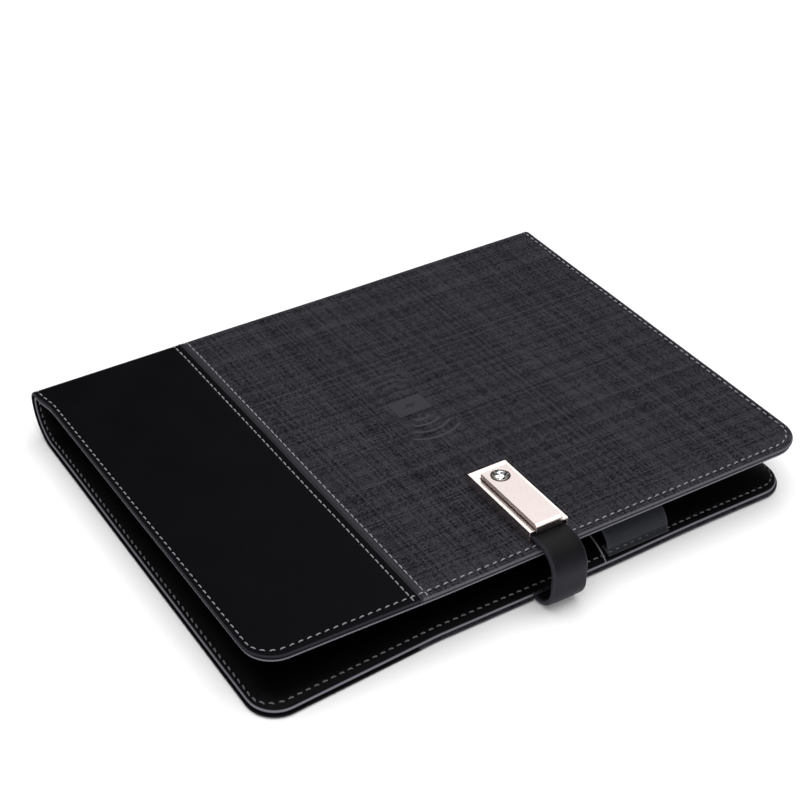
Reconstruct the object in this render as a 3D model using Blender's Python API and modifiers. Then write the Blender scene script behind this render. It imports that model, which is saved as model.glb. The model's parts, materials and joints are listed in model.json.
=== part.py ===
"""Organizer cover with a wireless charger in its front panel, closed by a strap and a metal clasp.

Frame: +X from the spine to the fore edge, +Y along the spine, +Z up. The origin is the middle of
the back cover's underside, and the cover rests on the plane z = 0. Units are metres.
"""
import math

import bmesh
import bpy
from mathutils import Matrix, Vector

GAP = 0.0003                       # clearance between neighbouring pieces

# The closed cover
COVER_LENGTH = 0.230               # along the spine
COVER_WIDTH = 0.1808               # spine silhouette to fore edge
TILT = math.radians(-1.19)         # lean of the front cover down to the fore edge: it rises a little
SPINE_RADIUS = 0.0151              # fold between the back cover and the spine
FRONT_RADIUS = 0.0045              # fold between the spine and the front cover
FRONT_REACH = 0.1772               # front cover from the end of its fold to the fore edge
CORNER_RADIUS = 0.012              # fore corners in plan
SPINE_X = -COVER_WIDTH / 2         # outermost line of the spine
BACK_START = SPINE_X + SPINE_RADIUS
FORE_X = COVER_WIDTH / 2
HALF_LENGTH = COVER_LENGTH / 2

# Layers, from the outside in
SKIN = 0.0010                      # leather or fabric, glued on its backing
TURNED_EDGE = 0.0030               # height of the skin's folded edge
EDGE_WIDTH = 0.0050                # width of that folded edge
BOARD_TOP = 0.0028
LINING_BOTTOM = 0.0033
LINING_TOP = 0.0045
LINING_INSET = 0.0006              # the lining stops short of the skin's edge
PANEL_START = 0.0005               # cover panels start this far after the fold
SEAM_Y = -0.0525                   # seam between the leather and the fabric panel
SEAM_WELT_WIDTH = 0.0010
SEAM_LOW_Y = SEAM_Y - SEAM_WELT_WIDTH / 2 - GAP
SEAM_HIGH_Y = SEAM_Y + SEAM_WELT_WIDTH / 2 + GAP
STIFFENER_TOP = 0.0019
SPINE_LINING_BOTTOM = 0.0022
SPINE_LINING_TOP = 0.0032
SPINE_EASE = 0.0006                # the spine's layers stop this far before the folds' ends
STIFFENER_EASE = 0.0036            # and its stiffener this far
STIFFENER_INSET = 0.0030
POCKET_THICKNESS = 0.0010
POCKET_CORNER = 0.0070
POCKET_FROM_BANK = 0.0040          # the back pocket starts this far after the power bank
POCKET_FROM_LOOP = 0.0020
FRONT_POCKET_START = 0.0230        # front pocket, along the front cover
FRONT_POCKET_END = 0.1560
FRONT_POCKET_HIGH_Y = -0.0300
LOOP_LOW_Y = 0.0285                # elastic pen loop on the back lining
LOOP_HIGH_Y = 0.0555
LOOP_LOW_X = 0.0650
LOOP_HIGH_X = 0.0868
LOOP_HEIGHT = 0.0080
LOOP_THICKNESS = 0.0009

# Strap and clasp
STRAP_Y = 0.0020                   # centre line of the strap and the clasp
STRAP_WIDTH = 0.0143
STRAP_THICKNESS = 0.0022
STRAP_LIFT = 0.0002                # the strap's tail clears the resting plane
STRAP_TAIL_X = 0.0450
STRAP_BOTTOM_RADIUS = 0.0098
STRAP_BOTTOM_X = FORE_X + 0.0002   # centre of the lower bend
STRAP_TOP_RADIUS = 0.0100
STRAP_TOP_U = 0.1763               # centre of the upper bend, along the front cover
STRAP_TOP_HEIGHT = 0.0031          # strap's outer face above the front cover
STRAP_EASE = math.radians(4.0)     # the lower bend starts this far past the tail
CLASP_START_U = 0.1338             # far end of the clasp, along the front cover
CLASP_LENGTH = 0.0384
CLASP_WIDTH = 0.0162
CLASP_RIM = 0.0050                 # rim above the front cover
CLASP_BASE = 0.0005                # clasp's underside above the front cover
CLASP_WALL = 0.0006
CLASP_SHEET = 0.0008               # thickness of the rim's top
CLASP_FLANGE = 0.0026
PLATE_TOP = 0.0070                 # raised plate above the front cover
PLATE_START = 0.0045               # plate's far end from the clasp's far end
PLATE_WIDTH = 0.0110
STONE_RADIUS = 0.0035
STONE_FROM_END = 0.0088
STONE_SEAT = 0.0014                # depth of the stone's seat in the plate
STONE_WALL = 0.0007                # the setting's wall
STONE_SIDES = 16
STONE_RISE = 0.0011                # the stone's flat top above the plate
STONE_GIRDLE = 0.0002              # the top of its widest belt above the plate
STONE_GIRDLE_DEPTH = 0.0003
STONE_TABLE = 0.55                 # its flat top and its foot, as parts of its radius
STONE_FOOT = 0.45
SETTING_RISE = 0.0003
SETTING_FLOOR = 0.0005
MAGNET_START = 0.0020
MAGNET_LENGTH = 0.0100
MAGNET_WIDTH = 0.0110
TONGUE_LENGTH = 0.0100
TONGUE_WIDTH = 0.0120
TONGUE_THICKNESS = 0.0020
HOLDER_LENGTH = 0.0030
STRAP_TIP_LENGTH = 0.0120          # strap held inside the clasp

# Power bank on the back cover
BANK_LOW = Vector((-0.0450, -0.0650, LINING_TOP + GAP))
BANK_HIGH = Vector((0.0350, 0.0650, LINING_TOP + GAP + 0.0090))
BANK_WALL = 0.0012
BANK_SPLIT = 0.0050                # height of the joint between its two shells
BANK_CORNER = 0.0060
PORT_DEPTH = 0.0090
PORT_SHEET = 0.0006
USB_C_Y = 0.0300                   # middle of each port along the bank's side
USB_C_WIDTH = 0.0090
USB_C_HEIGHT = 0.0032
USB_A_Y = 0.0460
USB_A_WIDTH = 0.0132
USB_A_HEIGHT = 0.0050
POWER_BOARD_WIDTH = 0.0180
POWER_BOARD_INSET = 0.0070         # from the bank's ends
POWER_BOARD_THICKNESS = 0.0007
CELL_INSET = 0.0030
CELL_START = 0.0280                # from the bank's low end, where the board's parts are
CELL_FROM_BOARD = 0.0020
LIGHT_PIPE_FLOOR = 0.0015
BUTTON_RADIUS = 0.0035
BUTTON_PLACE = Vector((0.0220, -0.0520))
BUTTON_TRAVEL = 0.0005
BUTTON_PROUD = 0.0008
BUTTON_LIP = 0.0012                # the button's hidden lip: its width and its thickness below
BUTTON_LIP_THICKNESS = 0.0010
LIGHT_PLACE = Vector((0.0220, -0.0400))
LIGHT_RADIUS = 0.0012

# Wireless transmitter in the front cover
COIL_PLACE = Vector((0.0900, 0.0040))
COIL_INNER = 0.0100
COIL_OUTER = 0.0225
COIL_TURNS = 6
COIL_WIRE = 0.0014                 # width of the flat wire
COIL_LOW = -0.0022
COIL_HIGH = -0.0013
WELL_RADIUS = 0.0260
FERRITE_LOW = -0.0030
FERRITE_HIGH = -0.0025
CHIP_LOW = Vector((0.0510, 0.0420, -0.0029))
CHIP_HIGH = Vector((0.0730, 0.0720, -0.0013))
KEEPER_FROM_CLASP = 0.0040         # the keeper starts this far after the clasp's far end
KEEPER_LENGTH = 0.0160
KEEPER_WIDTH = 0.0120
KEEPER_LOW = -0.0021
KEEPER_HIGH = -0.0013

# Flat cable
CABLE_Y = 0.1060
CABLE_WIDTH = 0.0060
CABLE_LOW = 0.0014
CABLE_HIGH = 0.0019

ARC_STEPS = 10
OVER = 0.0010                      # a cutter runs past the faces that it cuts


def clear_scene():
    for old in list(bpy.data.objects):
        bpy.data.objects.remove(old, do_unlink=True)


def new_collection(name):
    group = bpy.data.collections.new(name)
    bpy.context.scene.collection.children.link(group)
    return group


def material(name, colour, roughness, metallic=0.0):
    made = bpy.data.materials.new(name)
    made.use_nodes = True
    surface = made.node_tree.nodes["Principled BSDF"]
    surface.inputs["Base Color"].default_value = (*colour, 1.0)
    surface.inputs["Roughness"].default_value = roughness
    surface.inputs["Metallic"].default_value = metallic
    made.diffuse_color = (*colour, 1.0)
    return made


def arc(centre, radius, start, end, steps=ARC_STEPS):
    """Points on a circle in a plane, from the angle start to the angle end."""
    points = []
    for i in range(steps + 1):
        angle = start + (end - start) * i / steps
        points.append((centre[0] + radius * math.cos(angle), centre[1] + radius * math.sin(angle)))
    return points


def rounded_outline(low, high, radii, steps=6):
    """Corners in turn: low-low, high-low, high-high, low-high. A radius of 0 is a sharp corner."""
    corners = ((low[0], low[1]), (high[0], low[1]), (high[0], high[1]), (low[0], high[1]))
    inward = ((1, 1), (-1, 1), (-1, -1), (1, -1))
    outline = []
    for i, (corner, side, radius) in enumerate(zip(corners, inward, radii)):
        if radius == 0:
            outline.append(corner)
            continue
        centre = (corner[0] + side[0] * radius, corner[1] + side[1] * radius)
        start = math.pi + i * math.pi / 2
        outline += arc(centre, radius, start, start + math.pi / 2, steps)
    return outline


def prism_mesh(outline, low, high, plane="XY"):
    """A closed outline pulled straight from low to high, across the plane that it lies in."""
    mesh = bmesh.new()
    if plane == "XY":
        points = [(a, b, low) for a, b in outline]
        pull = Vector((0, 0, high - low))
    else:
        points = [(a, low, b) for a, b in outline]
        pull = Vector((0, high - low, 0))
    face = mesh.faces.new([mesh.verts.new(p) for p in points])
    pulled = bmesh.ops.extrude_face_region(mesh, geom=[face])
    moved = [item for item in pulled["geom"] if isinstance(item, bmesh.types.BMVert)]
    bmesh.ops.translate(mesh, vec=pull, verts=moved)
    bmesh.ops.recalc_face_normals(mesh, faces=mesh.faces)
    return mesh


def box_mesh(low, high):
    mesh = bmesh.new()
    size = Vector(high) - Vector(low)
    middle = (Vector(high) + Vector(low)) / 2
    bmesh.ops.create_cube(mesh, size=1.0, matrix=Matrix.Translation(middle) @ Matrix.Diagonal((*size, 1.0)))
    return mesh


def cylinder_mesh(place, radius, low, high, sides=32):
    mesh = bmesh.new()
    middle = Vector((place[0], place[1], (low + high) / 2))
    bmesh.ops.create_cone(
        mesh, cap_ends=True, segments=sides, radius1=radius, radius2=radius,
        depth=high - low, matrix=Matrix.Translation(middle),
    )
    return mesh


class Builder:
    """Makes the named pieces and puts each one under its parent."""

    def __init__(self):
        self.parts = new_collection("charging_organizer_cover")
        self.cutters = new_collection("cutters")

    def guide(self, name, place, parent=None, tilt=0.0):
        """An empty on a joint's axis, or at the start of a leaning cover."""
        empty = bpy.data.objects.new(name, None)
        empty.empty_display_size = 0.01
        self.parts.objects.link(empty)
        empty.parent = parent
        empty.location = place
        empty.rotation_euler = (0.0, tilt, 0.0)
        return empty

    def piece(self, name, mesh, finish, parent, bevel=0.0):
        """A closed solid, modelled in its parent's own coordinates."""
        data = bpy.data.meshes.new(name)
        mesh.to_mesh(data)
        mesh.free()
        made = bpy.data.objects.new(name, data)
        data.materials.append(finish)
        data.shade_smooth()
        data.set_sharp_from_angle(angle=math.radians(35))
        self.parts.objects.link(made)
        made.parent = parent
        if bevel:
            edge = made.modifiers.new("rounded_edges", "BEVEL")
            edge.width = bevel
            edge.segments = 2
            edge.limit_method = "ANGLE"
            edge.angle_limit = math.radians(50)
        return made

    def cut(self, made, mesh, operation="DIFFERENCE"):
        """Cuts a piece with a closed mesh given in the same coordinates as the piece."""
        data = bpy.data.meshes.new(made.name + "_cutter")
        mesh.to_mesh(data)
        mesh.free()
        cutter = bpy.data.objects.new(made.name + "_cutter", data)
        self.cutters.objects.link(cutter)
        cutter.parent = made.parent
        cutter.hide_render = True
        cutter.display_type = "WIRE"
        knife = made.modifiers.new("cut", "BOOLEAN")
        knife.operation = operation
        knife.solver = "EXACT"
        knife.object = cutter


def unrolling_pivot(start, end, turn):
    """The fixed axis that turns `start` onto `end` by the angle turn, in the XZ plane.

    A fold of flexible leather unrolls along its own length. The hinge that stands for it is the
    one that takes the far end of the closed fold to the place where it lies when unrolled.
    """
    step = (end[0] - start[0], end[1] - start[1])
    middle = ((start[0] + end[0]) / 2, (start[1] + end[1]) / 2)
    reach = 0.5 / math.tan(turn / 2)
    return (middle[0] - step[1] * reach, middle[1] + step[0] * reach)


def spine_section(inner_depth, outer_depth, ease):
    """The spine's C, between two depths under its outer surface, short of its ends by ease."""
    low = (BACK_START, SPINE_RADIUS)
    top = (SPINE_X + FRONT_RADIUS, SPINE_RADIUS)
    low_start = -math.pi / 2 - ease / SPINE_RADIUS
    top_end = math.pi / 2 - TILT + ease / FRONT_RADIUS

    def side(depth):
        lower = arc(low, SPINE_RADIUS - depth, low_start, -math.pi)
        upper = arc(top, FRONT_RADIUS - depth, math.pi, top_end)
        return lower + upper[1:]

    return side(outer_depth) + side(inner_depth)[::-1]


def strap_section(centre, radius, start, end, run):
    """A bent length of strap: an arc, and a straight run of (dx, dz) from its end."""
    outer = arc(centre, radius, start, end)
    inner = arc(centre, radius - STRAP_THICKNESS, start, end)
    for side in (outer, inner):
        side.append((side[-1][0] + run[0], side[-1][1] + run[1]))
    return outer + inner[::-1]


def strip_path(points, low, high):
    """A flat cable that follows points with square corners, as a closed prism."""
    half = CABLE_WIDTH / 2
    (ax, ay), (bx, by), (cx, cy) = points
    across = 1 if cx > bx else -1
    along = 1 if by > ay else -1
    outline = [
        (ax - across * half, ay), (bx - across * half, by + along * half), (cx, cy + along * half),
        (cx, cy - along * half), (bx + across * half, by - along * half), (ax + across * half, ay),
    ]
    return prism_mesh(outline, low, high)


def spiral_mesh(place, inner, outer, turns, low, high, wire):
    """A flat spiral of square wire, lofted from section to section."""
    mesh = bmesh.new()
    per_turn = 24
    steps = per_turn * turns
    previous = None
    for i in range(steps + 1):
        angle = 2 * math.pi * i / per_turn
        radius = inner + (outer - inner) * i / steps
        ring = []
        for r, z in ((radius, low), (radius + wire, low), (radius + wire, high), (radius, high)):
            ring.append(mesh.verts.new((place[0] + r * math.cos(angle), place[1] + r * math.sin(angle), z)))
        if previous is None:
            mesh.faces.new(ring)
        else:
            for k in range(4):
                mesh.faces.new((previous[k], ring[k], ring[(k + 1) % 4], previous[(k + 1) % 4]))
        previous = ring
    mesh.faces.new(previous[::-1])
    bmesh.ops.recalc_face_normals(mesh, faces=mesh.faces)
    return mesh


def cover_outline(start, end, low_y, high_y, inset=0.0, round_low=True, round_high=True):
    """A cover panel in plan, with rounded fore corners on the sides that reach the cover's ends."""
    radius = CORNER_RADIUS - inset
    radii = (0, radius if round_low else 0, radius if round_high else 0, 0)
    low = (start, low_y + (inset if round_low else 0))
    high = (end - inset, high_y - (inset if round_high else 0))
    return rounded_outline(low, high, radii)


def leather_tray(build, name, finish, parent, start, end, low_y, high_y, sign, lows=True, highs=True):
    """An outer skin with its edge folded in: a plate with a rim along the cover's free sides."""
    outline = cover_outline(start, end, low_y, high_y, 0.0, lows, highs)
    bottom, top = sorted((0.0, sign * TURNED_EDGE))
    tray = build.piece(name, prism_mesh(outline, bottom, top), finish, parent)
    inner_low = low_y + EDGE_WIDTH if lows else low_y - OVER
    inner_high = high_y - EDGE_WIDTH if highs else high_y + OVER
    corner = CORNER_RADIUS - EDGE_WIDTH
    radii = (0, corner if lows else 0, corner if highs else 0, 0)
    hollow = rounded_outline((start - OVER, inner_low), (end - EDGE_WIDTH, inner_high), radii)
    bottom, top = sorted((sign * SKIN, sign * (TURNED_EDGE + OVER)))
    build.cut(tray, prism_mesh(hollow, bottom, top))
    return tray


def board_mesh(start, end, sign):
    """The stiff board between the skin and the lining, inside the folded edge."""
    inset = EDGE_WIDTH + GAP
    corner = CORNER_RADIUS - inset
    outline = rounded_outline(
        (start, -HALF_LENGTH + inset), (end - inset, HALF_LENGTH - inset), (0, corner, corner, 0))
    bottom, top = sorted((sign * (SKIN + GAP), sign * BOARD_TOP))
    return prism_mesh(outline, bottom, top)


def lining_mesh(start, end, sign):
    outline = cover_outline(start, end, -HALF_LENGTH, HALF_LENGTH, LINING_INSET)
    bottom, top = sorted((sign * LINING_BOTTOM, sign * LINING_TOP))
    return prism_mesh(outline, bottom, top)


def strap_notch():
    """The space that the strap's tail takes up in the back cover's underside."""
    half = STRAP_WIDTH / 2 + GAP
    low = (STRAP_TAIL_X - GAP, STRAP_Y - half, -OVER)
    high = (FORE_X + OVER, STRAP_Y + half, STRAP_LIFT + STRAP_THICKNESS + GAP)
    return box_mesh(low, high)


def build_back_cover(build, looks, root):
    start = BACK_START + PANEL_START
    leather_tray(build, "back_leather_panel", looks["leather"], root, start, FORE_X,
                 -HALF_LENGTH, SEAM_LOW_Y, 1, True, False)
    fabric = leather_tray(build, "back_fabric_panel", looks["fabric"], root, start, FORE_X,
                          SEAM_HIGH_Y, HALF_LENGTH, 1, False, True)
    build.cut(fabric, strap_notch())
    welt_low = (start, SEAM_LOW_Y + GAP, 0.0)
    welt_high = (FORE_X - GAP, SEAM_HIGH_Y - GAP, SKIN)
    build.piece("back_seam_welt", box_mesh(welt_low, welt_high), looks["leather"], root)
    board = build.piece("back_board", board_mesh(start, FORE_X, 1), looks["board"], root)
    build.cut(board, strap_notch())
    lining = build.piece("back_lining", lining_mesh(start, FORE_X, 1), looks["lining"], root)
    build_back_cable(build, looks, root, board, lining)

    on_lining = LINING_TOP + GAP
    pocket_low = (BANK_HIGH.x + POCKET_FROM_BANK, -HALF_LENGTH + LINING_INSET)
    pocket_high = (FORE_X - LINING_INSET, LOOP_LOW_Y - POCKET_FROM_LOOP)
    pocket = rounded_outline(pocket_low, pocket_high, (0, CORNER_RADIUS, 0, 0))
    build.piece("back_pocket_panel", prism_mesh(pocket, on_lining, on_lining + POCKET_THICKNESS),
                looks["lining"], root)
    build_pen_loop(build, looks, root, on_lining)


def build_pen_loop(build, looks, root, floor):
    """An elastic loop for a pen, sewn near the fore edge: an arch over a flat strip."""
    middle = (LOOP_LOW_X + LOOP_HIGH_X) / 2
    half = (LOOP_HIGH_X - LOOP_LOW_X) / 2

    def arch(inset):
        points = arc((0.0, 0.0), 1.0, 0.0, math.pi, 2 * ARC_STEPS)
        wide, high = half - inset, LOOP_HEIGHT - 2 * inset
        return [(middle + wide * a, floor + inset + high * b) for a, b in points]

    loop = build.piece("pen_loop", prism_mesh(arch(0.0), LOOP_LOW_Y, LOOP_HIGH_Y, "XZ"),
                       looks["elastic"], root)
    build.cut(loop, prism_mesh(arch(LOOP_THICKNESS), LOOP_LOW_Y - OVER, LOOP_HIGH_Y + OVER, "XZ"))


def build_back_cable(build, looks, root, board, lining):
    """A flat cable in a channel of the board, with a riser up into the power bank."""
    corner_x = BANK_LOW.x + CABLE_WIDTH
    riser_y = BANK_HIGH.y - CABLE_WIDTH
    start = BACK_START + PANEL_START
    route = ((corner_x, riser_y), (corner_x, CABLE_Y), (start, CABLE_Y))
    cable = build.piece("back_cable", strip_path(route, CABLE_LOW, CABLE_HIGH), looks["cable"], root)
    half = CABLE_WIDTH / 2
    riser_low = (corner_x - half, riser_y, CABLE_LOW)
    riser_high = (corner_x + half, BANK_HIGH.y - 2 * GAP, BANK_LOW.z - GAP)
    build.cut(cable, box_mesh(riser_low, riser_high), "UNION")
    wide = half + GAP
    build.cut(lining, box_mesh((corner_x - wide, riser_y - GAP, LINING_BOTTOM - OVER),
                               (corner_x + wide, BANK_HIGH.y - GAP, LINING_TOP + OVER)))
    build.cut(board, box_mesh((corner_x - wide, riser_y - GAP, -OVER),
                              (corner_x + wide, CABLE_Y + wide, LINING_TOP)))
    build.cut(board, box_mesh((start - OVER, CABLE_Y - wide, -OVER),
                              (corner_x + wide, CABLE_Y + wide, LINING_TOP)))


def build_power_bank(build, looks, root, button_axis):
    low, high = BANK_LOW, BANK_HIGH
    split = low.z + BANK_SPLIT
    wall = BANK_WALL

    def shell(name, bottom, top, hollow_bottom, hollow_top):
        outline = rounded_outline(low.xy, high.xy, (BANK_CORNER,) * 4)
        case = build.piece(name, prism_mesh(outline, bottom, top), looks["case"], root)
        inner = rounded_outline(
            (low.x + wall, low.y + wall), (high.x - wall, high.y - wall), (BANK_CORNER - wall,) * 4)
        build.cut(case, prism_mesh(inner, hollow_bottom, hollow_top))
        return case

    lower = shell("power_case_lower", low.z, split - GAP / 2, low.z + wall, split + OVER)
    upper = shell("power_case_upper", split + GAP / 2, high.z, split - OVER, high.z - wall)
    build_port(build, looks, root, (lower, upper), "usb_c_port", USB_C_Y, USB_C_WIDTH, USB_C_HEIGHT)
    build_port(build, looks, root, (lower, upper), "usb_a_port", USB_A_Y, USB_A_WIDTH, USB_A_HEIGHT)

    floor = low.z + wall + GAP
    board_x = high.x - POWER_BOARD_WIDTH
    board_low = (board_x, low.y + POWER_BOARD_INSET, floor)
    board_high = (high.x - wall - GAP, high.y - POWER_BOARD_INSET, floor + POWER_BOARD_THICKNESS)
    build.piece("power_board", box_mesh(board_low, board_high), looks["circuit"], root)
    cell_low = (low.x + CELL_INSET, low.y + CELL_START, floor)
    cell_high = (board_x - CELL_FROM_BOARD, high.y - CELL_INSET, high.z - wall - 2 * GAP)
    build.piece("battery_cell", box_mesh(cell_low, cell_high), looks["cell"], root, 0.0008)

    for place, radius in ((BUTTON_PLACE, BUTTON_RADIUS), (LIGHT_PLACE, LIGHT_RADIUS)):
        build.cut(upper, cylinder_mesh(place, radius + GAP, high.z - wall - OVER, high.z + OVER))
    light = cylinder_mesh(LIGHT_PLACE, LIGHT_RADIUS, floor + LIGHT_PIPE_FLOOR, high.z, 16)
    build.piece("light_pipe", light, looks["clear"], root)
    lip_top = -wall - GAP
    button = build.piece("power_button", cylinder_mesh((0, 0), BUTTON_RADIUS, lip_top, BUTTON_PROUD),
                         looks["button"], button_axis)
    build.cut(button, cylinder_mesh((0, 0), BUTTON_RADIUS + BUTTON_LIP,
                                    lip_top - BUTTON_LIP_THICKNESS, lip_top), "UNION")


def build_port(build, looks, root, cases, name, middle_y, width, height):
    """A metal socket set across the joint of the two shells, with its mouth in the side wall."""
    face = BANK_HIGH.x
    bottom = BANK_LOW.z + BANK_SPLIT - height / 2
    for case in cases:
        build.cut(case, box_mesh(
            (face - BANK_WALL - OVER, middle_y - width / 2 - GAP, bottom - GAP),
            (face + OVER, middle_y + width / 2 + GAP, bottom + height + GAP)))
    port = build.piece(name, box_mesh((face - PORT_DEPTH, middle_y - width / 2, bottom),
                                      (face - GAP, middle_y + width / 2, bottom + height)),
                       looks["steel"], root, 0.0004)
    build.cut(port, box_mesh(
        (face - PORT_DEPTH + 2 * OVER, middle_y - width / 2 + PORT_SHEET, bottom + PORT_SHEET),
        (face + OVER, middle_y + width / 2 - PORT_SHEET, bottom + height - PORT_SHEET)))


def build_spine(build, looks, spine_axis):
    """Three layers of the spine, in the spine axis's coordinates."""
    shift = spine_axis.location

    def layer(name, outer, inner, ease, low_y, high_y, finish):
        section = [(x - shift.x, z - shift.z) for x, z in spine_section(inner, outer, ease)]
        return build.piece(name, prism_mesh(section, low_y, high_y, "XZ"), finish, spine_axis)

    layer("spine_leather_panel", 0.0, SKIN, SPINE_EASE, -HALF_LENGTH, SEAM_LOW_Y, looks["leather"])
    layer("spine_seam_welt", 0.0, SKIN, SPINE_EASE, SEAM_LOW_Y + GAP, SEAM_HIGH_Y - GAP,
          looks["leather"])
    layer("spine_fabric_panel", 0.0, SKIN, SPINE_EASE, SEAM_HIGH_Y, HALF_LENGTH, looks["fabric"])
    layer("spine_stiffener", SKIN + GAP, STIFFENER_TOP, STIFFENER_EASE,
          -HALF_LENGTH + STIFFENER_INSET, CABLE_Y - CABLE_WIDTH, looks["board"])
    layer("spine_lining", SPINE_LINING_BOTTOM, SPINE_LINING_TOP, SPINE_EASE,
          -HALF_LENGTH + LINING_INSET, HALF_LENGTH - LINING_INSET, looks["lining"])
    layer("spine_cable", CABLE_LOW, CABLE_HIGH, SPINE_EASE, CABLE_Y - CABLE_WIDTH / 2,
          CABLE_Y + CABLE_WIDTH / 2, looks["cable"])


def build_front_cover(build, looks, cover):
    """The front cover, in its own leaning coordinates: X to the fore edge, Z = 0 its outer face."""
    start = PANEL_START
    leather_tray(build, "front_leather_panel", looks["leather"], cover, start, FRONT_REACH,
                 -HALF_LENGTH, SEAM_LOW_Y, -1, True, False)
    leather_tray(build, "front_fabric_panel", looks["fabric"], cover, start, FRONT_REACH,
                 SEAM_HIGH_Y, HALF_LENGTH, -1, False, True)
    build.piece("front_seam_welt", box_mesh((start, SEAM_LOW_Y + GAP, -SKIN),
                                            (FRONT_REACH - GAP, SEAM_HIGH_Y - GAP, 0.0)),
                looks["leather"], cover)
    board = build.piece("front_board", board_mesh(start, FRONT_REACH, -1), looks["board"], cover)
    build.piece("front_lining", lining_mesh(start, FRONT_REACH, -1), looks["lining"], cover)
    pocket = rounded_outline((FRONT_POCKET_START, -HALF_LENGTH + LINING_INSET),
                             (FRONT_POCKET_END, FRONT_POCKET_HIGH_Y), (0, 0, POCKET_CORNER, 0))
    pocket_top = -LINING_TOP - GAP
    build.piece("front_pocket_panel", prism_mesh(pocket, pocket_top - POCKET_THICKNESS, pocket_top),
                looks["lining"], cover)
    build_charger(build, looks, cover, board)


def build_charger(build, looks, cover, board):
    """The wireless transmitter and the clasp's keeper, in wells of the front cover's board."""
    margin = Vector((GAP, GAP, LINING_TOP))
    build.cut(board, cylinder_mesh(COIL_PLACE, WELL_RADIUS, -LINING_TOP, OVER))
    build.piece("charging_coil",
                spiral_mesh(COIL_PLACE, COIL_INNER, COIL_OUTER, COIL_TURNS, COIL_LOW, COIL_HIGH, COIL_WIRE),
                looks["copper"], cover)
    build.piece("ferrite_shield",
                cylinder_mesh(COIL_PLACE, WELL_RADIUS - 2 * GAP, FERRITE_LOW, FERRITE_HIGH),
                looks["ferrite"], cover)
    build.cut(board, box_mesh(CHIP_LOW - margin, CHIP_HIGH + margin))
    build.piece("charger_board", box_mesh(CHIP_LOW, CHIP_HIGH), looks["circuit"], cover)
    keeper_x = CLASP_START_U + KEEPER_FROM_CLASP
    keeper_low = Vector((keeper_x, STRAP_Y - KEEPER_WIDTH / 2, KEEPER_LOW))
    keeper_high = Vector((keeper_x + KEEPER_LENGTH, STRAP_Y + KEEPER_WIDTH / 2, KEEPER_HIGH))
    build.cut(board, box_mesh(keeper_low - margin, keeper_high + margin))
    build.piece("keeper_plate", box_mesh(keeper_low, keeper_high), looks["steel"], cover)

    start = PANEL_START
    corner_x = (CHIP_LOW.x + CHIP_HIGH.x) / 2
    route = ((corner_x, CHIP_HIGH.y + GAP), (corner_x, CABLE_Y), (start, CABLE_Y))
    build.piece("front_cable", strip_path(route, -CABLE_HIGH, -CABLE_LOW), looks["cable"], cover)
    wide = CABLE_WIDTH / 2 + GAP
    build.cut(board, box_mesh((corner_x - wide, CHIP_HIGH.y - GAP, -LINING_TOP),
                              (corner_x + wide, CABLE_Y + wide, OVER)))
    build.cut(board, box_mesh((start - OVER, CABLE_Y - wide, -LINING_TOP),
                              (corner_x, CABLE_Y + wide, OVER)))


def build_strap(build, looks, root, swing_axis, bend_axis, cover_point, bend_centre):
    """The strap: a tail fixed under the back cover, and two bends up around the fore edge."""
    low_y = STRAP_Y - STRAP_WIDTH / 2
    high_y = STRAP_Y + STRAP_WIDTH / 2
    centre_low = (STRAP_BOTTOM_X, STRAP_LIFT + STRAP_BOTTOM_RADIUS)
    tail = [
        (STRAP_TAIL_X, STRAP_LIFT), (STRAP_BOTTOM_X, STRAP_LIFT),
        (STRAP_BOTTOM_X, STRAP_LIFT + STRAP_THICKNESS), (STRAP_TAIL_X, STRAP_LIFT + STRAP_THICKNESS),
    ]
    build.piece("strap_tail", prism_mesh(tail, low_y, high_y, "XZ"), looks["strap"], root)

    def local(section, axis_place):
        return [(x - axis_place[0], z - axis_place[1]) for x, z in section]

    swing_place = (swing_axis.matrix_world.translation.x, swing_axis.matrix_world.translation.z)
    rise = bend_centre[1] - centre_low[1] - GAP
    lower = strap_section(centre_low, STRAP_BOTTOM_RADIUS, -math.pi / 2 + STRAP_EASE, 0.0,
                          (0.0, rise))
    build.piece("strap_lower", prism_mesh(local(lower, swing_place), low_y, high_y, "XZ"),
                looks["strap"], swing_axis)

    tip_start = cover_point(STRAP_TOP_U, 0.0)
    tip_end = cover_point(CLASP_START_U + CLASP_LENGTH - STRAP_TIP_LENGTH, 0.0)
    run = (tip_end[0] - tip_start[0], tip_end[1] - tip_start[1])
    upper = strap_section(bend_centre, STRAP_TOP_RADIUS, 0.0, math.pi / 2 - TILT, run)
    bend_place = (bend_axis.matrix_world.translation.x, bend_axis.matrix_world.translation.z)
    build.piece("strap_upper", prism_mesh(local(upper, bend_place), low_y, high_y, "XZ"),
                looks["strap"], bend_axis)


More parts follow.
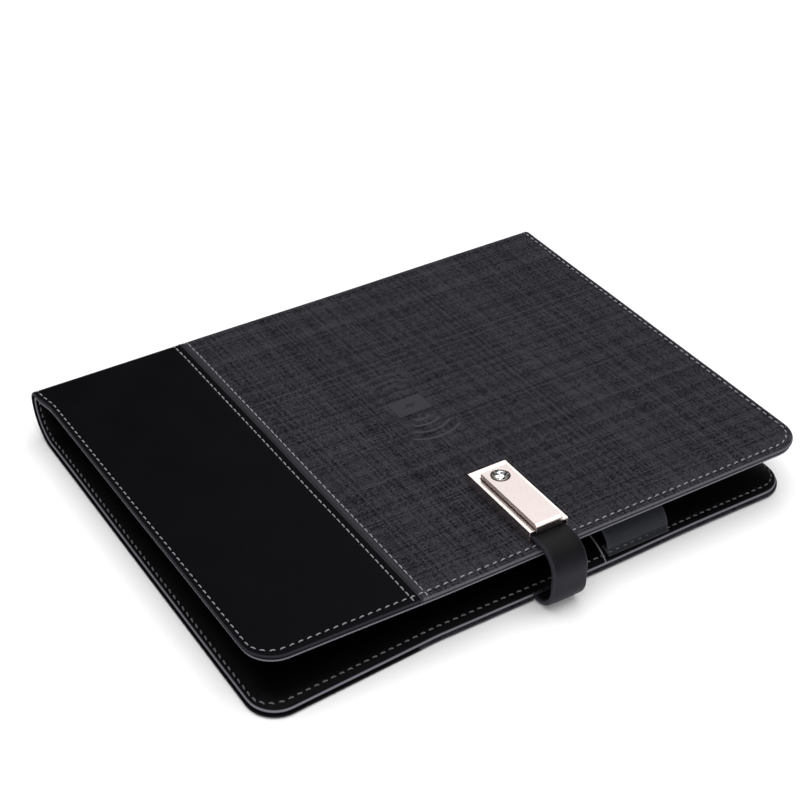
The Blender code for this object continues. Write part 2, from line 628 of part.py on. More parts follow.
def build_clasp(build, looks, tip, clasp):
    """The clasp, in coordinates that lean with the cover: X = 0 is its far end, Z = 0 the cover."""
    half = CLASP_WIDTH / 2
    inner_half = half - CLASP_WALL
    sheet_bottom = CLASP_RIM - CLASP_SHEET
    frame = build.piece("clasp_frame", box_mesh((0, -half, CLASP_BASE), (CLASP_LENGTH, half, CLASP_RIM)),
                        looks["metal"], clasp)
    build.cut(frame, box_mesh((CLASP_WALL, -inner_half, CLASP_BASE - OVER),
                              (CLASP_LENGTH + OVER, inner_half, sheet_bottom)))
    window = half - CLASP_FLANGE + GAP
    build.cut(frame, box_mesh((PLATE_START - GAP, -window, 0.0),
                              (CLASP_LENGTH + OVER, window, CLASP_RIM + OVER)))
    plate_bottom = STRAP_TOP_HEIGHT + GAP
    plate = build.piece("clasp_plate", box_mesh((PLATE_START, -PLATE_WIDTH / 2, plate_bottom),
                                                (CLASP_LENGTH + GAP, PLATE_WIDTH / 2, PLATE_TOP)),
                        looks["metal"], clasp, 0.0003)
    build.cut(plate, box_mesh((PLATE_START + OVER, -inner_half + GAP, plate_bottom),
                              (CLASP_LENGTH - OVER, inner_half - GAP, sheet_bottom - GAP)), "UNION")
    build_stone(build, looks, clasp, plate)
    magnet_low = (MAGNET_START, -MAGNET_WIDTH / 2, CLASP_BASE)
    magnet_high = (MAGNET_START + MAGNET_LENGTH, MAGNET_WIDTH / 2, plate_bottom - GAP)
    build.piece("clasp_magnet", box_mesh(magnet_low, magnet_high), looks["steel"], clasp, 0.0003)

    strap_end = CLASP_LENGTH - STRAP_TIP_LENGTH - GAP
    strap_bottom = STRAP_TOP_HEIGHT - STRAP_THICKNESS
    holder_start = strap_end - HOLDER_LENGTH
    build.piece("plug_holder", box_mesh((holder_start, -TONGUE_WIDTH / 2, strap_bottom),
                                        (strap_end, TONGUE_WIDTH / 2, STRAP_TOP_HEIGHT)),
                looks["case"], tip)
    plug_low = (holder_start - GAP - TONGUE_LENGTH, -TONGUE_WIDTH / 2, strap_bottom)
    plug_high = (holder_start - GAP, TONGUE_WIDTH / 2, strap_bottom + TONGUE_THICKNESS)
    build.piece("usb_plug", box_mesh(plug_low, plug_high), looks["steel"], tip)


def build_stone(build, looks, clasp, plate):
    """The round faceted stone and its metal cup, sunk into the plate."""
    place = (STONE_FROM_END, 0.0)
    seat = PLATE_TOP - STONE_SEAT
    stone_radius = STONE_RADIUS - GAP - STONE_WALL
    build.cut(plate, cylinder_mesh(place, STONE_RADIUS, seat, PLATE_TOP + OVER))
    cup = build.piece("crystal_setting",
                      cylinder_mesh(place, STONE_RADIUS - GAP, seat + GAP, PLATE_TOP + SETTING_RISE),
                      looks["metal"], clasp)
    cup_floor = seat + GAP + SETTING_FLOOR
    build.cut(cup, cylinder_mesh(place, stone_radius + GAP, cup_floor, PLATE_TOP + OVER))
    girdle = PLATE_TOP + STONE_GIRDLE
    profile = (
        (cup_floor + GAP, STONE_FOOT * stone_radius), (girdle - STONE_GIRDLE_DEPTH, stone_radius),
        (girdle, stone_radius), (PLATE_TOP + STONE_RISE, STONE_TABLE * stone_radius),
    )
    stone = bmesh.new()
    rings = []
    for height, radius in profile:
        circle = arc(place, radius, 0.0, 2 * math.pi, STONE_SIDES)[:-1]
        rings.append([stone.verts.new((x, y, height)) for x, y in circle])
    stone.faces.new(rings[0][::-1])
    stone.faces.new(rings[-1])
    for lower, upper in zip(rings, rings[1:]):
        for k in range(STONE_SIDES):
            n = (k + 1) % STONE_SIDES
            stone.faces.new((lower[k], lower[n], upper[n], upper[k]))
    bmesh.ops.recalc_face_normals(stone, faces=stone.faces)
    build.piece("crystal", stone, looks["clear"], clasp)


def make_looks():
    return {
        "leather": material("black_leather", (0.012, 0.012, 0.013), 0.45),
        "fabric": material("charcoal_fabric", (0.035, 0.034, 0.040), 0.90),
        "lining": material("black_lining", (0.006, 0.006, 0.007), 0.60),
        "board": material("stiff_board", (0.180, 0.170, 0.150), 0.90),
        "elastic": material("grey_elastic", (0.045, 0.045, 0.052), 0.85),
        "strap": material("black_strap", (0.018, 0.018, 0.021), 0.55),
        "metal": material("champagne_metal", (0.870, 0.740, 0.680), 0.22, 1.0),
        "steel": material("bright_steel", (0.620, 0.620, 0.640), 0.30, 1.0),
        "clear": material("clear_crystal", (0.850, 0.870, 0.900), 0.05),
        "case": material("black_plastic", (0.020, 0.020, 0.022), 0.40),
        "button": material("button_plastic", (0.100, 0.100, 0.105), 0.45),
        "cell": material("cell_foil", (0.500, 0.500, 0.520), 0.35, 1.0),
        "circuit": material("green_circuit", (0.010, 0.090, 0.035), 0.45),
        "copper": material("copper_wire", (0.720, 0.300, 0.120), 0.30, 1.0),
        "ferrite": material("dark_ferrite", (0.040, 0.040, 0.042), 0.60),
        "cable": material("flat_cable", (0.300, 0.130, 0.030), 0.40),
    }


def main():
    clear_scene()
    build = Builder()
    looks = make_looks()

    root = build.guide("back_cover_guide", (0, 0, 0))
    fold_end = (SPINE_X, SPINE_RADIUS)
    fold_flat = (BACK_START - SPINE_RADIUS * math.pi / 2, 0.0)
    spine_pivot = unrolling_pivot(fold_end, fold_flat, math.pi / 2)
    spine_axis = build.guide("spine_axis", (spine_pivot[0], 0.0, spine_pivot[1]))

    front_turn = math.pi / 2 + TILT
    cover_start = (SPINE_X + FRONT_RADIUS * (1 + math.sin(TILT)),
                   SPINE_RADIUS + FRONT_RADIUS * math.cos(TILT))
    cover_flat = (SPINE_X, SPINE_RADIUS + FRONT_RADIUS * front_turn)
    cover_pivot = unrolling_pivot(cover_start, cover_flat, front_turn)
    cover_axis = build.guide(
        "cover_axis", (cover_pivot[0] - spine_pivot[0], 0.0, cover_pivot[1] - spine_pivot[1]), spine_axis)
    cover = build.guide(
        "front_cover_guide", (cover_start[0] - cover_pivot[0], 0.0, cover_start[1] - cover_pivot[1]),
        cover_axis, TILT)

    def cover_point(along, above):
        """A place on the front cover as (x, z): along it from its fold, and above its outer face."""
        return (cover_start[0] + along * math.cos(TILT) + above * math.sin(TILT),
                cover_start[1] - along * math.sin(TILT) + above * math.cos(TILT))

    swing_end = (STRAP_BOTTOM_X + STRAP_BOTTOM_RADIUS, STRAP_LIFT + STRAP_BOTTOM_RADIUS)
    swing_flat = (STRAP_BOTTOM_X + STRAP_BOTTOM_RADIUS * math.pi / 2, STRAP_LIFT)
    swing_pivot = unrolling_pivot(swing_end, swing_flat, -math.pi / 2)
    bend_turn = math.pi / 2 - TILT
    bend_centre = cover_point(STRAP_TOP_U, STRAP_TOP_HEIGHT - STRAP_TOP_RADIUS)
    bend_end = cover_point(STRAP_TOP_U, STRAP_TOP_HEIGHT)
    bend_flat = (bend_centre[0] + STRAP_TOP_RADIUS, bend_centre[1] + STRAP_TOP_RADIUS * bend_turn)
    bend_pivot = unrolling_pivot(bend_end, bend_flat, -bend_turn)
    swing_axis = build.guide("strap_swing_axis", (swing_pivot[0], 0.0, swing_pivot[1]))
    bend_axis = build.guide(
        "strap_bend_axis", (bend_pivot[0] - swing_pivot[0], 0.0, bend_pivot[1] - swing_pivot[1]),
        swing_axis)
    clasp_place = cover_point(CLASP_START_U, 0.0)
    tip = build.guide(
        "strap_tip_guide", (clasp_place[0] - bend_pivot[0], STRAP_Y, clasp_place[1] - bend_pivot[1]),
        bend_axis, TILT)
    clasp = build.guide("clasp_axis", (0, 0, 0), tip)
    button_axis = build.guide("button_axis", (BUTTON_PLACE.x, BUTTON_PLACE.y, BANK_HIGH.z), root)
    bpy.context.view_layer.update()

    build_back_cover(build, looks, root)
    build_power_bank(build, looks, root, button_axis)
    build_spine(build, looks, spine_axis)
    build_front_cover(build, looks, cover)
    build_strap(build, looks, root, swing_axis, bend_axis, cover_point, bend_centre)
    build_clasp(build, looks, tip, clasp)
    for name, place in (("spine", spine_pivot), ("cover", cover_pivot),
                        ("strap swing", swing_pivot), ("strap bend", bend_pivot)):
        print(f"{name} axis at x {place[0]:.6f}, z {place[1]:.6f}")
    print(f"power button axis at z {BANK_HIGH.z:.6f}")


main()
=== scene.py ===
"""Looks of the charging organizer cover: skins, linings, stitching, strap, clasp and power bank.

Lengths are millimetres in the CAD's frame, and meshes are made in metres. Each cover is a sheet
that starts at the spine's middle line, runs round its fold and on to the fore edge: s is the way
along it, y the place along the spine, and depth goes inwards from the outer surface.
"""
import json
import math

import bmesh
import bpy
import numpy as np
from mathutils import Matrix, Vector


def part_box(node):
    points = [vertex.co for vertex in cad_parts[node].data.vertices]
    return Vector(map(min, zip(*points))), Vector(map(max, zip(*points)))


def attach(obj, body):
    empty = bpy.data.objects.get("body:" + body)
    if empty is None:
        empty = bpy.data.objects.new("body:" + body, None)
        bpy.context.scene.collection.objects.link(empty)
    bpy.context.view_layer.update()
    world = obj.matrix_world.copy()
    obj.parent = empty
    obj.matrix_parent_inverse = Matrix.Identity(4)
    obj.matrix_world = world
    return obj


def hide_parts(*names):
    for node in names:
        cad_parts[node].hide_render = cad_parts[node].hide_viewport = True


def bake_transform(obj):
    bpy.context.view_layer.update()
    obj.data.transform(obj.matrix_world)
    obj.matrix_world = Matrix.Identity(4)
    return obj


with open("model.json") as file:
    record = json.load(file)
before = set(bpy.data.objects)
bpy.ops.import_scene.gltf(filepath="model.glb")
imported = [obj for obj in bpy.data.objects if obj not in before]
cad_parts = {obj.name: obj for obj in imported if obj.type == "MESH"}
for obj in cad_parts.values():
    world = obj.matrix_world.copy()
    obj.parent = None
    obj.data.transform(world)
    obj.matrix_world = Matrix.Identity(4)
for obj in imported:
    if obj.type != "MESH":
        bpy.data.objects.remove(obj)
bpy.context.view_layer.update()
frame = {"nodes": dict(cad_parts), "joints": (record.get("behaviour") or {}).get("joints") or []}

MM = 0.001


def low(node):
    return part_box(node)[0] / MM


def high(node):
    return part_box(node)[1] / MM


def joint(name):
    return next(item for item in frame["joints"] if item["name"] == name)


# Places that the CAD gives
SLIDE = Vector(joint("clasp_slide")["axis"])
TILT = math.atan2(SLIDE.z, -SLIDE.x)
PANEL_START = 0.5
HALF_LENGTH = high("back_fabric_panel").y
FORE_X = high("back_fabric_panel").x
SPINE_X = low("spine_leather_panel").x
BACK_START = low("back_leather_panel").x - PANEL_START
BACK_RADIUS = BACK_START - SPINE_X
FRONT_RADIUS = 4.5
FRONT_TURN = math.pi / 2 + TILT
FRONT_X = SPINE_X + FRONT_RADIUS * (1 + math.sin(TILT))
FRONT_Z = BACK_RADIUS + FRONT_RADIUS * math.cos(TILT)
SEAM_Y = (high("back_leather_panel").y + low("back_fabric_panel").y) / 2
STRAP_LOW_Y = low("strap_lower").y
STRAP_HIGH_Y = high("strap_lower").y
STRAP_Y = (STRAP_LOW_Y + STRAP_HIGH_Y) / 2
STRAP_WIDTH = STRAP_HIGH_Y - STRAP_LOW_Y
STRAP_LIFT = low("strap_tail").z
STRAP_THICKNESS = high("strap_tail").z - STRAP_LIFT
STRAP_TAIL_X = low("strap_tail").x

# Layers
CORNER_RADIUS = 12.0
EDGE_RADIUS = 0.55
TURNED_EDGE = 1.3               # thickness of the skin's edge
CAD_TURNED_EDGE = 3.0           # the same edge in the CAD, before the layers are pressed together
EDGE_WIDTH = 5.0
SKIN = 1.0
SPINE_SKIN = 2.0                # in the folds the skin takes up the stiffener's place as well
LINING_INSET = 0.6
LINING_OUTER, LINING_INNER = 3.3, 4.5
SPINE_LINING_OUTER, SPINE_LINING_INNER = 2.2, 3.2
FRONT_LINING_EDGE = (1.75, 2.70)  # the lining's two faces where it ends
BACK_LINING_EDGE = (1.60, 2.25)
EDGE_SLOPE = 10.0               # over this width the layers are pressed together at the edge
LAYER_EASE = 6.0                # the layers thin out over this length at a fold's end
RIM_WIDTH = 0.45                # of the lighter edge of a skin or a lining, partly from rubbing and partly painted highlight
SEAM_HALF = 0.5
WELT_HALF = 0.45
WELT_PROUD = 0.18


def along_cover(x, depth):
    """How far along the front cover a place lies, from its x and its depth under the outer face."""
    return (x - FRONT_X + depth * math.sin(TILT)) / math.cos(TILT)


FRONT_REACH = along_cover(high("front_fabric_panel").x, CAD_TURNED_EDGE)

# Stitching
FORE_STITCH_INSET = 3.2
END_STITCH_INSET = 2.0
STITCH_PITCH = 3.3
STITCH_LENGTH = 2.1
STITCH_WIDTH = 0.52
STITCH_SLANT = math.radians(7.0)
GROOVE_DEPTH = 0.28
GROOVE_WIDTH = 0.50
LEATHER_ROW = SEAM_Y - 2.7
FABRIC_ROW = SEAM_Y + 2.8
SEAM_PITCH = 3.2
SEAM_STITCH = 2.5

GRID = 3.0
FINE_GRID = 0.4
EDGE_OFFSETS = (0, 0.03, 0.1, 0.22, 0.36, 0.55, 0.9, 1.3, 1.55, 1.8, 2.0, 2.2, 2.45, 2.7, 2.95, 3.2, 3.45,
                3.7, 4.0, 4.5, 5.4, 7.0, 8.5)
SEAM_OFFSETS = (0.04, 0.12, 0.25, 0.4, 0.7, 1.2, 1.7, 1.95, 2.2, 2.45, 2.7, 3.0, 3.4)


# ---------------------------------------------------------------------------------------------
# Numbers and meshes
# ---------------------------------------------------------------------------------------------

def smooth(x):
    x = np.clip(x, 0.0, 1.0)
    return x * x * (3 - 2 * x)


def hump(x):
    return np.exp(-x * x)


def rounded_edge(distance, radius):
    """How far a rounded edge has dropped, at a distance inside it."""
    inside = np.clip(distance, 0.0, radius)
    return radius - np.sqrt(radius ** 2 - (radius - inside) ** 2)


def lines(start, end, step, places=()):
    """Grid lines from start to end through the given places, no further apart than step."""
    marks = sorted({start, end, *[p for p in places if start < p < end]})
    made = []
    for a, b in zip(marks, marks[1:]):
        count = max(1, math.ceil((b - a) / step))
        made += [a + (b - a) * i / count for i in range(count)]
    return np.array(made + [end])


def make_object(name, points, faces, look, smooth_angle=40.0, **values):
    """A mesh from points in millimetres. Values are numbers or vectors stored at each point."""
    mesh = bpy.data.meshes.new(name)
    mesh.from_pydata([tuple(p) for p in np.asarray(points) * MM], [], [tuple(f) for f in faces])
    for key, value in values.items():
        vector = np.ndim(value) == 2
        kind = "FLOAT_VECTOR" if vector else "FLOAT"
        stored = mesh.attributes.new(key, kind, "POINT")
        stored.data.foreach_set("vector" if vector else "value", np.ravel(value).astype(np.float32))
    shell = bmesh.new()
    shell.from_mesh(mesh)
    bmesh.ops.recalc_face_normals(shell, faces=shell.faces)
    shell.to_mesh(mesh)
    shell.free()
    mesh.shade_smooth()
    mesh.set_sharp_from_angle(angle=math.radians(smooth_angle))
    made = bpy.data.objects.new(name, mesh)
    mesh.materials.append(look)
    bpy.context.scene.collection.objects.link(made)
    return made


def grid_faces(rows, columns, first=0):
    index = first + np.arange(rows * columns).reshape(rows, columns)
    corners = (index[:-1, :-1], index[1:, :-1], index[1:, 1:], index[:-1, 1:])
    return np.stack(corners, -1).reshape(-1, 4).tolist()


def rim_faces(rows, columns):
    """The sides that join the borders of two grids, one stored after the other."""
    index = np.arange(rows * columns).reshape(rows, columns)
    loop = [*index[0, :], *index[1:, -1], *index[-1, -2::-1], *index[-2:0:-1, 0]]
    shift = rows * columns
    sides = []
    for a, b in zip(loop, loop[1:] + loop[:1]):
        sides.append((a, b, b + shift, a + shift))
    return sides


def tube_faces(rings, around, first=0, capped=True):
    """Faces of a tube of closed rings, with its two ends filled."""
    faces = []
    for i in range(rings - 1):
        for k in range(around):
            n = (k + 1) % around
            a, b = first + i * around, first + (i + 1) * around
            faces.append((a + k, a + n, b + n, b + k))
    if capped:
        last = first + (rings - 1) * around
        faces.append(tuple(first + k for k in range(around))[::-1])
        faces.append(tuple(last + k for k in range(around)))
    return faces


# ---------------------------------------------------------------------------------------------
# The two sheets
# ---------------------------------------------------------------------------------------------

FRONT_NEAR_SHRINK = 1.4
FRONT_END_SHRINK = 1.6
BACK_NEAR_STRETCH = 4.6
BACK_FAR_SHRINK = 0.9
BACK_CORNER_SHRINK = 2.6


class Sheet:
    """A cover with its half of the spine. Side is 1 for the front and -1 for the back."""

    def __init__(self, name, side, radius, turn, reach, bodies, start, end, lining_edge):
        self.name = name
        self.lining_edge = lining_edge
        self.reach = reach
        self.side = side
        self.radius = radius
        self.turn = turn
        self.fold = radius * turn
        self.length = self.fold + reach
        self.bodies = bodies
        self.start = start
        self.end = end

    def wave(self, s, y):
        """Slight waviness of the glued layers."""
        u = self.side * s
        wave = 0.07 * np.sin(u / 19.0 + y / 41.0 + 0.6) * np.sin(y / 23.0 + 1.1)
        return wave + 0.05 * np.sin(u / 11.0 - y / 29.0 + 2.0)

    def stretch(self, run, y):
        """How far a cover's free corners lie beyond or inside a true rectangle."""
        near = np.clip((-45.0 - y) / (HALF_LENGTH - 45.0), 0.0, 1.0)
        if self.side > 0:
            return -FRONT_NEAR_SHRINK * near * run / self.reach, FRONT_END_SHRINK * near * smooth(run / 12.0)
        far = smooth((y - 20.0) / 50.0)
        along = (BACK_NEAR_STRETCH * near - BACK_FAR_SHRINK * far) * run / self.reach
        corner = smooth((y - 60.0) / 55.0) * smooth((run - self.reach + 75.0) / 60.0)
        return along, -BACK_CORNER_SHRINK * corner

    def place(self, s, y, depth):
        s, y, depth = np.broadcast_arrays(s, y, depth)
        angle = np.clip(s / self.radius, 0.0, self.turn)
        run = np.maximum(s - self.fold, 0.0)
        inward = depth + self.wave(s, y)
        longer, wider = self.stretch(run, y)
        run, y = run + longer, y + wider
        out_x, out_z = -np.cos(angle), self.side * np.sin(angle)
        along_x, along_z = np.sin(angle), self.side * np.cos(angle)
        x = SPINE_X + self.radius + (self.radius - inward) * out_x + run * along_x
        z = BACK_RADIUS + (self.radius - inward) * out_z + run * along_z
        return np.stack([x, y, z], -1)

    def attach(self, piece, slot, *nodes):
        """Bakes the piece's place into its mesh and hides the CAD nodes that it stands for."""
        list(self.bodies)
        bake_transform(piece)
        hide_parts(*nodes)
        return piece

    def flatness(self, s):
        """0 in the fold, 1 on the flat cover."""
        return smooth((s - self.fold) / LAYER_EASE)

    def inside(self, s, y):
        """Distance of a place from the cover's rounded outline."""
        a, b = self.length - s, HALF_LENGTH - np.abs(y)
        corner = (a < CORNER_RADIUS) & (b < CORNER_RADIUS)
        rounded = CORNER_RADIUS - np.hypot(CORNER_RADIUS - a, CORNER_RADIUS - b)
        return np.where(corner, rounded, np.minimum(a, b))

    def stitch_inset(self, s, y):
        """How far inside the outline the stitches lie: more at the fore edge than at the ends."""
        along = np.maximum(s - self.length + CORNER_RADIUS, 0.0)
        across = np.maximum(np.abs(y) - HALF_LENGTH + CORNER_RADIUS, 0.0)
        share = np.arctan2(along, across + 1e-9) * 2 / np.pi
        return END_STITCH_INSET + (FORE_STITCH_INSET - END_STITCH_INSET) * share

    def pressed_together(self, s, distance, at_edge, in_fold, on_cover):
        """Depth of a face between two layers: it nears the outer surface towards the outline."""
        away = np.clip(distance / EDGE_SLOPE, 0.0, 1.0)
        full = in_fold + (on_cover - in_fold) * self.flatness(s)
        return at_edge + (full - at_edge) * (1 - (1 - away) ** 2)

    def lining_face(self, s, y):
        """Depth of the lining's inner face."""
        return self.pressed_together(s, self.inside(s, y), self.lining_edge[1], SPINE_LINING_INNER, LINING_INNER)


def make_sheets():
    middle = Vector((SPINE_X, 0.0, BACK_RADIUS))
    front = Sheet("front", 1, FRONT_RADIUS, FRONT_TURN, FRONT_REACH, ("spine", "front_cover"),
                  middle, Vector((FRONT_X, 0.0, FRONT_Z)), FRONT_LINING_EDGE)
    back = Sheet("back", -1, BACK_RADIUS, math.pi / 2, FORE_X - BACK_START, ("back_cover", "spine"),
                 Vector((BACK_START, 0.0, 0.0)), middle, BACK_LINING_EDGE)
    return front, back


class Outline:
    """The free sides of a panel: its fore edge, and the ends that it reaches, with round corners."""

    def __init__(self, fore, low_end=None, high_end=None, radius=CORNER_RADIUS):
        self.fore = fore
        self.low_end = low_end
        self.high_end = high_end
        self.radius = radius

    def measure(self, s, y):
        """Rounds a square grid's corners. Returns s, y, the distance from the outline, and the
        direction in which the outline is nearest."""
        from_low = y - self.low_end if self.low_end is not None else np.full_like(y, np.inf)
        from_high = self.high_end - y if self.high_end is not None else np.full_like(y, np.inf)
        a = self.fore - s
        b = np.minimum(from_low, from_high)
        end = np.where(from_low < from_high, -1.0, 1.0)
        distance = np.minimum(a, b)
        near_fore = a <= b
        ring = self.radius - distance
        share = np.divide(self.radius - np.maximum(a, b), ring, out=np.zeros_like(a), where=ring > 1e-9)
        angle = np.pi / 4 * share
        angle = np.where(near_fore, angle, np.pi / 2 - angle)
        corner = (a < self.radius) & (b < self.radius)
        new_a = np.where(corner, self.radius - ring * np.cos(angle), a)
        new_b = np.where(corner, self.radius - ring * np.sin(angle), b)
        shift = np.where(corner, new_b - b, 0.0)
        new_y = y - end * shift
        return self.fore - new_a, new_y, distance, (near_fore * 1.0, np.where(near_fore, 0.0, end))

    def lines_along(self, start, step, places=()):
        edges = [self.fore - offset for offset in (*EDGE_OFFSETS, self.radius)]
        return lines(start, self.fore, step, (*edges, *places))

    def lines_across(self, start, end, step, places=()):
        edges = []
        for offset in (*EDGE_OFFSETS, self.radius):
            if self.low_end is not None:
                edges.append(self.low_end + offset)
            if self.high_end is not None:
                edges.append(self.high_end - offset)
        return lines(start, end, step, (*edges, *places))


def make_slab(name, sheet, along, across, outline, shallow, deep, look, face_depth=0.0, marks=None,
              rim_depth=(1.0, 0.0)):
    """A closed layer of a sheet between two depths, which are functions of the distance from the
    outline and the place. Pattern is the place that the material's weave or grain follows, rim is
    1 along the outline on the faces that rim_depth names, and marks are more values."""
    s, y = np.meshgrid(along, across, indexing="ij")
    s, y, distance, outward = outline.measure(s, y)
    points, pattern = [], []
    for surface in (shallow, deep):
        depth = surface(distance, s, y)
        points.append(sheet.place(s, y, depth).reshape(-1, 3))
        turned = np.abs(depth - face_depth) * (distance < 2.0)
        u = sheet.side * (s + outward[0] * turned)
        v = y + outward[1] * turned
        pattern.append(np.stack([u, v, np.zeros_like(u)], -1).reshape(-1, 3))
    rows, columns = s.shape
    faces = grid_faces(rows, columns) + grid_faces(rows, columns, rows * columns) + rim_faces(rows, columns)
    rim = hump(distance / RIM_WIDTH).reshape(-1)
    values = {"pattern": np.concatenate(pattern), "rim": np.concatenate([share * rim for share in rim_depth])}
    for key, value in (marks(s, y) if marks else {}).items():
        values[key] = np.tile(value.reshape(-1), 2)
    return make_object(name, np.concatenate(points), faces, look, **values)


# ---------------------------------------------------------------------------------------------
# The charging symbol
# ---------------------------------------------------------------------------------------------

SYMBOL_DEPTH = 0.22
SYMBOL_BLUR = 0.40
SYMBOL_REACH = (24.0, 13.0)         # half size of the finely meshed field round the symbol
SYMBOL_SHIFT = (-9.0, -0.9)         # from the coil's middle
PHONE_HALF = (4.9, 7.5)
PHONE_CORNER = 0.6
PHONE_LINE = 0.22
WAVE_OFFSET = 3.8
WAVE_RADII = (6.1, 9.9, 14.0, 18.4)
WAVE_HALF_WIDTH = 0.42
WAVE_HALF_ANGLE = math.radians(34.0)
BOLT = ((-2.9, 1.1), (0.5, -1.5), (0.2, -0.2), (2.9, -1.0), (-0.4, 1.6), (-0.1, 0.3))


def symbol_centre():
    coil = (low("charging_coil") + high("charging_coil")) / 2
    return along_cover(coil.x, SKIN) + SYMBOL_SHIFT[0], coil.y + SYMBOL_SHIFT[1]


def box_distance(x, y, half, radius):
    qx, qy = np.abs(x) - half[0] + radius, np.abs(y) - half[1] + radius
    outside = np.hypot(np.maximum(qx, 0), np.maximum(qy, 0))
    return outside + np.minimum(np.maximum(qx, qy), 0) - radius


def polygon_distance(x, y, corners):
    """Signed distance to a polygon, negative inside it."""
    nearest = np.full_like(x, np.inf)
    inside = np.zeros(x.shape, bool)
    for (ax, ay), (bx, by) in zip(corners, corners[1:] + corners[:1]):
        ex, ey = bx - ax, by - ay
        share = np.clip(((x - ax) * ex + (y - ay) * ey) / (ex * ex + ey * ey), 0, 1)
        nearest = np.minimum(nearest, np.hypot(x - ax - ex * share, y - ay - ey * share))
        crosses = (ay > y) != (by > y)
        inside ^= crosses & (x < ex * (y - ay) / (ey if ey else 1e-9) + ax)
    return np.where(inside, -nearest, nearest)


def symbol_shapes(front, s, y):
    """How much of the symbol's phone, waves and dark lines is at a place, each from 0 to 1. The dark lines are the bolt
    and the painted shadow along the phone's two short ends.
    """
    centre_u, centre_y = symbol_centre()
    u, v = s - front.fold - centre_u, y - centre_y
    outline = box_distance(u, v, PHONE_HALF, PHONE_CORNER)
    bolt = polygon_distance(v * 0.9, u, BOLT)
    phone = np.maximum(outline, -bolt)
    waves = np.full_like(u, np.inf)
    across = np.abs(u) - WAVE_OFFSET
    away = np.hypot(across, v)
    beyond = (np.abs(np.arctan2(v, across)) - WAVE_HALF_ANGLE) * away
    for radius in WAVE_RADII:
        waves = np.minimum(waves, np.maximum(np.abs(away - radius) - WAVE_HALF_WIDTH, beyond))
    # painted shadow: thin dark lines along the phone's two short ends
    ends = np.maximum(np.abs(np.abs(v) - PHONE_HALF[1]) - PHONE_LINE, np.abs(u) - PHONE_HALF[0])
    dark = np.minimum(ends, bolt)
    return [smooth(0.5 - shape / SYMBOL_BLUR) for shape in (phone, waves, dark)]


def symbol_press(front):
    """How far the symbol is pressed in at a place: 1 at the bottom of its lines, 0 outside it."""
    def press(s, y):
        return np.maximum(*symbol_shapes(front, s, y)[:2])
    return press


def symbol_tone(front):
    """Tone of the symbol at a place: above 0 lighter than the weave, below 0 darker. The lighter waves and phone are
    painted highlight, the waves fainter on the spine's side as painted shade; below 0 are the dark bolt and the painted
    shadow lines at the phone's ends.
    """
    def tone(s, y):
        phone, waves, dark = symbol_shapes(front, s, y)
        # painted shade: the waves on the spine's side get less of the painted highlight
        marks_and_painted_light = np.where(s - front.fold < symbol_centre()[0], 0.2, 0.75)
        return np.where(dark > 0.2, -0.4 * dark, np.maximum(0.22 * phone, marks_and_painted_light * waves))
    return tone


# ---------------------------------------------------------------------------------------------
# Skins, welts and linings
# ---------------------------------------------------------------------------------------------

def groove(distance):
    return GROOVE_DEPTH * hump(distance / GROOVE_WIDTH)


def skin_depth(sheet, distance, s, y):
    """Outer surface of a skin: a rounded edge, a stitched groove along it and the seam's grooves."""
    depth = rounded_edge(distance, EDGE_RADIUS)
    inset = sheet.stitch_inset(s, y)
    depth = depth + groove(distance - inset) - 0.10 * hump((distance - inset / 2 - 0.3) / 0.6)
    beyond_row = smooth((distance - 0.8) / 1.0)
    return depth + (groove(y - LEATHER_ROW) + groove(y - FABRIC_ROW)) * beyond_row


def skin_back(sheet):
    """Inner surface of a skin: a thicker turned edge, and a thicker skin in the fold."""
    def depth(distance, s, y):
        turned = SKIN + (TURNED_EDGE - SKIN) * smooth((EDGE_WIDTH + 0.3 - distance) / 0.6)
        folded = sheet.pressed_together(s, distance, TURNED_EDGE, SPINE_SKIN, SPINE_SKIN)
        return folded + (turned - folded) * sheet.flatness(s) - rounded_edge(distance, 0.3)
    return depth


def in_notch(sheet, s, y):
    """1 where the back cover's underside has its recess for the strap's tail."""
    start = STRAP_TAIL_X - 0.4 - BACK_START + sheet.fold
    across = STRAP_WIDTH / 2 + 0.4 - np.abs(y - STRAP_Y)
    return smooth((s - start) / 0.25 + 0.5) * smooth(across / 0.25 + 0.5)


def seam_strip(y):
    """1 on the smooth strip between the seam and the stitches in the fabric."""
    return smooth((FABRIC_ROW - 0.35 - y) / 0.3)


